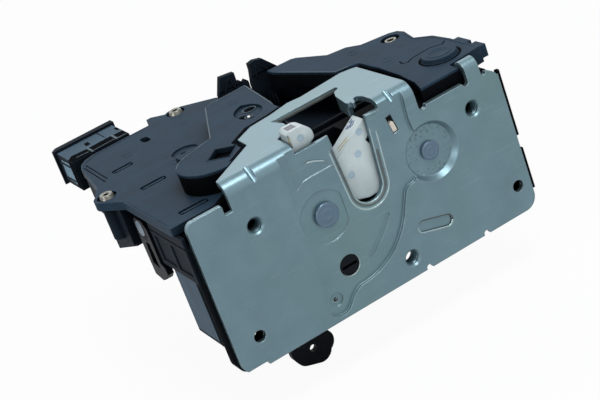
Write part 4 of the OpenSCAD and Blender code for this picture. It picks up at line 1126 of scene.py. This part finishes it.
@dataclass
class TrayDetails(Details):
    """Ribs and fittings of the actuator housing and its socket, with painted shade in the socket's channel and painted
    light on its hood, bridges and left side.

    Attributes:
        floor: Lower side of the housing.
        left: Left face of the socket.
        right: Its right face.
        low: Its lower face.
        top: Its upper face.
        end: Depth of its open end.
    """

    floor: float = 39.5
    left: float = 1.5
    right: float = 26.5
    low: float = 44.5
    top: float = 56.5
    end: float = 129.5

    def under_ribs(self) -> Mesh:
        """Makes the grid of ribs below the housing."""
        section = [(-0.6, -0.1), (0.6, -0.1), (0.42, 1.8), (-0.42, 1.8)]
        long = ((10.0, 99.0), (24.0, 100.0), (38.0, 100.0), (52.0, 94.0), (82.0, 92.0), (94.0, 68.0), (108.0, 60.0))
        cross = ((44.0, 120.0), (58.0, 118.0), (74.0, 92.0), (88.0, 86.0))
        runs = [line(((x, 34.0, self.floor), (x, end, self.floor)), 6) for x, end in long]
        runs += [line(((6.0, y, self.floor), (right, y, self.floor)), 8) for y, right in cross]
        return merged([sweep(run, section, DOWN) for run in runs])

    def socket_trim(self) -> Mesh:
        """Makes the keyways, the locking nose and the collar's rib of the socket."""
        x, z = (self.left + self.right) / 2, (self.low + self.top) / 2
        parts = [bead(line(((wall, 112.0, z + lift), (wall, 124.0, z + lift)), 6), 0.5, 0.9, way, 5)
                 for wall, way in ((self.left, LEFT), (self.right, RIGHT)) for lift in (-3.2, 3.2)]
        nose = ((x - 2.6, 118.0), (x + 2.6, 118.0), (x + 2.6, 122.0), (x - 2.6, 122.0))
        parts.append(prism([at(*corner, self.low) for corner in nose], DOWN))
        y = self.end - 3.6
        parts.append(bead(line(((self.left + 1.0, y, self.top), (self.right - 1.0, y, self.top)), 10),
                          0.3, 0.9, UP, 5))
        parts.append(bead(line(((x + 5.4, 111.0, self.top), (x + 5.4, 125.0, self.top)), 10), 0.14, 0.8, UP, 4))
        return merged(parts)

    def trench(self) -> Mesh:
        """Makes the painted shade of the channel between the socket's hood and the cover, with its notches and side
        step, as thin black sheets.
        """
        shapes = (((1.8, 108.7), (26.3, 108.7), (26.3, 114.6), (20.8, 115.2), (10.2, 114.8), (4.1, 115.5),
                   (1.8, 112.9)), ((25.2, 117.6), (26.4, 117.6), (26.4, 121.4), (25.2, 121.4)),
                  ((11.5, 117.7), (13.5, 117.7), (13.7, 121.5), (12.0, 121.5)),
                  ((19.2, 117.7), (19.6, 117.7), (19.6, 126.0), (19.2, 126.0)))
        parts = [prism([at(x, y, self.top) for x, y in shape], UP * 0.1) for shape in shapes]
        step = ((108.7, 45.2), (112.7, 45.2), (112.9, 56.3), (108.7, 56.3))
        return merged(parts + [prism([at(self.left, y, z) for y, z in step], LEFT * 0.1)])

    def bridges(self) -> Mesh:
        """Makes the bridges and the thin ribs over the channel, which carry a painted highlight."""
        spans = (((21.5, 108.6), (21.5, 115.2), 0.55), ((10.8, 108.6), (10.8, 115.0), 0.5),
                 ((11.4, 109.3), (21.0, 109.8), 0.22), ((4.6, 111.0), (9.6, 110.4), 0.22),
                 ((22.0, 109.0), (25.6, 109.2), 0.3))
        return merged([sweep(line([(*start, self.top + 0.08), (*end, self.top + 0.08)], 6),
                             [(-half, -0.03), (half, -0.03), (half * 0.8, 0.3), (-half * 0.8, 0.3)], UP)
                       for start, end, half in spans])

    def hood(self) -> Mesh:
        """Makes the smooth top panel of the socket's hood, whose paler finish is painted light."""
        corners = ((1.8, 113.2), (4.1, 115.7), (10.2, 115.0), (20.8, 115.4), (26.3, 114.8), (26.3, 125.6),
                   (1.8, 125.6))
        return prism([at(x, y, self.top) for x, y in corners], UP * 0.06)

    def side_panel(self) -> Mesh:
        """Makes the panel on the socket's left side, whose paler finish is painted light."""
        corners = ((113.0, 46.2), (122.6, 46.8), (121.6, 54.9), (113.0, 55.1))
        return prism([at(self.left, y, z) for y, z in corners], LEFT * 0.12)

    def inner_ribs(self) -> Mesh:
        """Makes the ribs that show inside the open part of the housing."""
        runs = [(line(((79.4, y, 42.0), (79.4, y, 52.0)), 5), LEFT) for y in (86.0, 89.0, 92.0)]
        runs += [(line(((x, 93.75, 43.0), (x, 93.75, 54.0)), 5), FRONT) for x in (66.5, 70.5, 74.5)]
        return merged([bead(run, 0.5, 0.8, way, 5) for run, way in runs])

    def prong_ribs(self) -> Mesh:
        """Makes the crossing ribs on the faces of the two prongs."""
        ribs = (((62.6, 56.6), (66.4, 63.4)), ((68.2, 57.0), (66.4, 63.4)), ((77.4, 57.2), (78.6, 63.2)),
                ((84.2, 57.0), (79.6, 63.0)))
        return merged([bead(line([(x, y, z) for x, z in rib], 6), 0.35, 0.9, way, 5)
                       for y, way in ((93.6, FRONT), (96.0, REAR)) for rib in ribs])

    def pieces(self) -> Iterable[Row]:
        """Gives the housing's pieces."""
        return (("under_ribs", self.under_ribs(), "actuator_housing", Finish.HOUSING, 0.15),
                ("socket_hood", self.hood(), "actuator_housing", Finish.WALL),
                ("socket_channel", self.trench(), "actuator_housing", Finish.FOAM),
                ("socket_bridges", self.bridges(), "actuator_housing", Finish.COVER_EDGE),
                ("socket_side", self.side_panel(), "actuator_housing", Finish.LIT_SIDE),
                ("inner_ribs", self.inner_ribs(), "actuator_housing", Finish.HOUSING),
                ("socket_trim", self.socket_trim(), "actuator_housing", Finish.HOUSING),
                ("prong_ribs", self.prong_ribs(), "actuator_housing", Finish.HOUSING))


@dataclass
class LeverDetails(Details):
    """Pressed rings of the outside lever.

    Attributes:
        hole: Place of the rod hole.
        front: Depth of the lever's front face.
        thick: Thickness of the lever.
    """

    body = "release"
    hole: Point = (33.0, -14.7)
    front: float = 20.0
    thick: float = 2.5

    def rings(self) -> Mesh:
        """Makes the rings round the rod hole on both faces."""
        ring = ((0.5, -0.05), (0.4, 0.12), (0.0, 0.2), (-0.4, 0.12), (-0.5, -0.05))
        return merged([lathe([(r + out, lift) for out, lift in ring], at(self.hole[0], y, self.hole[1]), way, 48)
                       for y, way in ((self.front, FRONT), (self.front + self.thick, REAR)) for r in (2.2, 4.2)])

    def pieces(self) -> Iterable[Row]:
        """Gives the lever's piece."""
        return (("rod_hole_rings", self.rings(), "release_lever", Finish.BLACK_LEVER),)


@dataclass(frozen=True)
class SoftBox:
    """One lamp.

    Attributes:
        name: Its name.
        spot: Its place in metres.
        aim: The point that it faces.
        size: Width and height in metres.
        watts: Its power.
    """

    name: str
    spot: Triple
    aim: Triple
    size: Point
    watts: float

    def build(self) -> None:
        """Adds the lamp."""
        data = bpy.data.lights.new(self.name, "AREA")
        data.shape = "RECTANGLE"
        data.size, data.size_y = self.size
        data.energy = self.watts
        obj = bpy.data.objects.new(self.name, data)
        obj.location = self.spot
        obj.rotation_euler = (Vector(self.aim) - Vector(self.spot)).to_track_quat("-Z", "Y").to_euler()
        bpy.context.scene.collection.objects.link(obj)


@dataclass
class Studio:
    """Camera, lamps, world and floor.

    Attributes:
        lens: Focal length in millimetres.
        sensor: Sensor width in millimetres.
        clip: Nearest and farthest distance that the camera sees, in metres.
        place: Camera position in millimetres of the frame.
        right: The picture's right.
        up: The picture's up.
        back: From the scene to the camera.
        boxes: The lamps. The key stands high in front, so that the bend and the edges facing it shine.
        sky: Colour of the even light from all round.
        sky_strength: Its strength.
        floor: Height of the floor in metres.
        span: Half of the floor's width in metres.
        paper: Colour of the floor.
        floor_white: Share of plain white in the floor that the camera sees, the rest keeps the shadow.
        floor_mirrored: The same in the floor that metal shows.
    """

    lens: float = 99.4
    sensor: float = 36.0
    clip: Point = (0.01, 50.0)
    place: Triple = (-205.15, -466.6, 221.16)
    right: Triple = (0.8225, -0.4682, -0.3230)
    up: Triple = (0.4621, 0.2189, 0.8594)
    back: Triple = (-0.3317, -0.8561, 0.3964)
    boxes: tuple[SoftBox, ...] = (
        SoftBox("key_box", (0.08, -0.42, 0.95), (0.0, 0.02, 0.0), (0.56, 0.36), 7.2),
        SoftBox("left_box", (-1.1, -0.2, 0.6), (0.0, 0.02, 0.0), (0.4, 0.4), 3.6),
        SoftBox("back_box", (0.15, 1.0, 0.75), (0.0, 0.05, 0.0), (1.2, 0.7), 3.0),
        SoftBox("front_box", (0.3, -1.3, 0.35), (0.0, 0.0, 0.0), (1.0, 0.8), 0.8))
    sky: Colour = (0.9, 0.96, 1.0)
    sky_strength: float = 0.25
    floor: float = -0.0642
    span: float = 6.0
    paper: Colour = (0.8, 0.81, 0.82)
    floor_white: float = 0.94
    floor_mirrored: float = 0.72

    def camera(self) -> None:
        """Makes the camera of the photograph's view."""
        data = bpy.data.cameras.new("camera")
        data.lens = self.lens
        data.sensor_width = self.sensor
        data.clip_start, data.clip_end = self.clip
        obj = bpy.data.objects.new("camera", data)
        turn = Matrix((self.right, self.up, self.back)).transposed().to_4x4()
        obj.matrix_world = Matrix.Translation(Vector(self.place) * MM) @ turn
        bpy.context.scene.collection.objects.link(obj)
        bpy.context.scene.camera = obj

    def world(self) -> None:
        """Makes a pale even world that the camera and the metal see as white."""
        sh = Shader("world", world=True)
        soft = sh.node("Background", Color=self.sky, Strength=self.sky_strength)
        white = sh.node("Background", Color=(1.0, 1.0, 1.0), Strength=1.0)
        bpy.context.scene.world = sh.finish(sh.node("MixShader", _0=sh.seen(1.0, 1.0), _1=soft, _2=white))

    def ground(self) -> None:
        """Lays a pale floor that shows nearly white to the camera and keeps a soft shadow."""
        mesh = bpy.data.meshes.new("floor")
        corners = [(x * self.span, y * self.span, self.floor) for x, y in ((-1, -1), (1, -1), (1, 1), (-1, 1))]
        mesh.from_pydata(corners, [], [(0, 1, 2, 3)])
        obj = bpy.data.objects.new("floor", mesh)
        bpy.context.scene.collection.objects.link(obj)
        sh = Shader("floor_paper")
        paper = sh.node("BsdfPrincipled", Base_Color=self.paper, Roughness=0.8)
        glow = sh.node("Emission", Color=(1.0, 1.0, 1.0), Strength=1.0)
        seen = sh.seen(self.floor_white, self.floor_mirrored)
        mesh.materials.append(sh.finish(sh.node("MixShader", _0=seen, _1=paper, _2=glow)))

    def build(self) -> None:
        """Makes the whole studio."""
        self.camera()
        for box in self.boxes:
            box.build()
        self.world()
        self.ground()
        bpy.context.scene.view_settings.view_transform = "Standard"
        log.info("studio built")


def main() -> None:
    """Builds the scene."""
    logging.basicConfig(level=logging.INFO, format="%(name)s: %(message)s")
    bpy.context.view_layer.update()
    Studio().build()
    paints = Paints()
    paints.dress_nodes()
    for details in (PlateDetails(), ForkDetails(), HousingDetails(), CoverDetails(), TrayDetails(), LeverDetails()):
        details.build(paints)


if __name__ == "__main__":
    main()
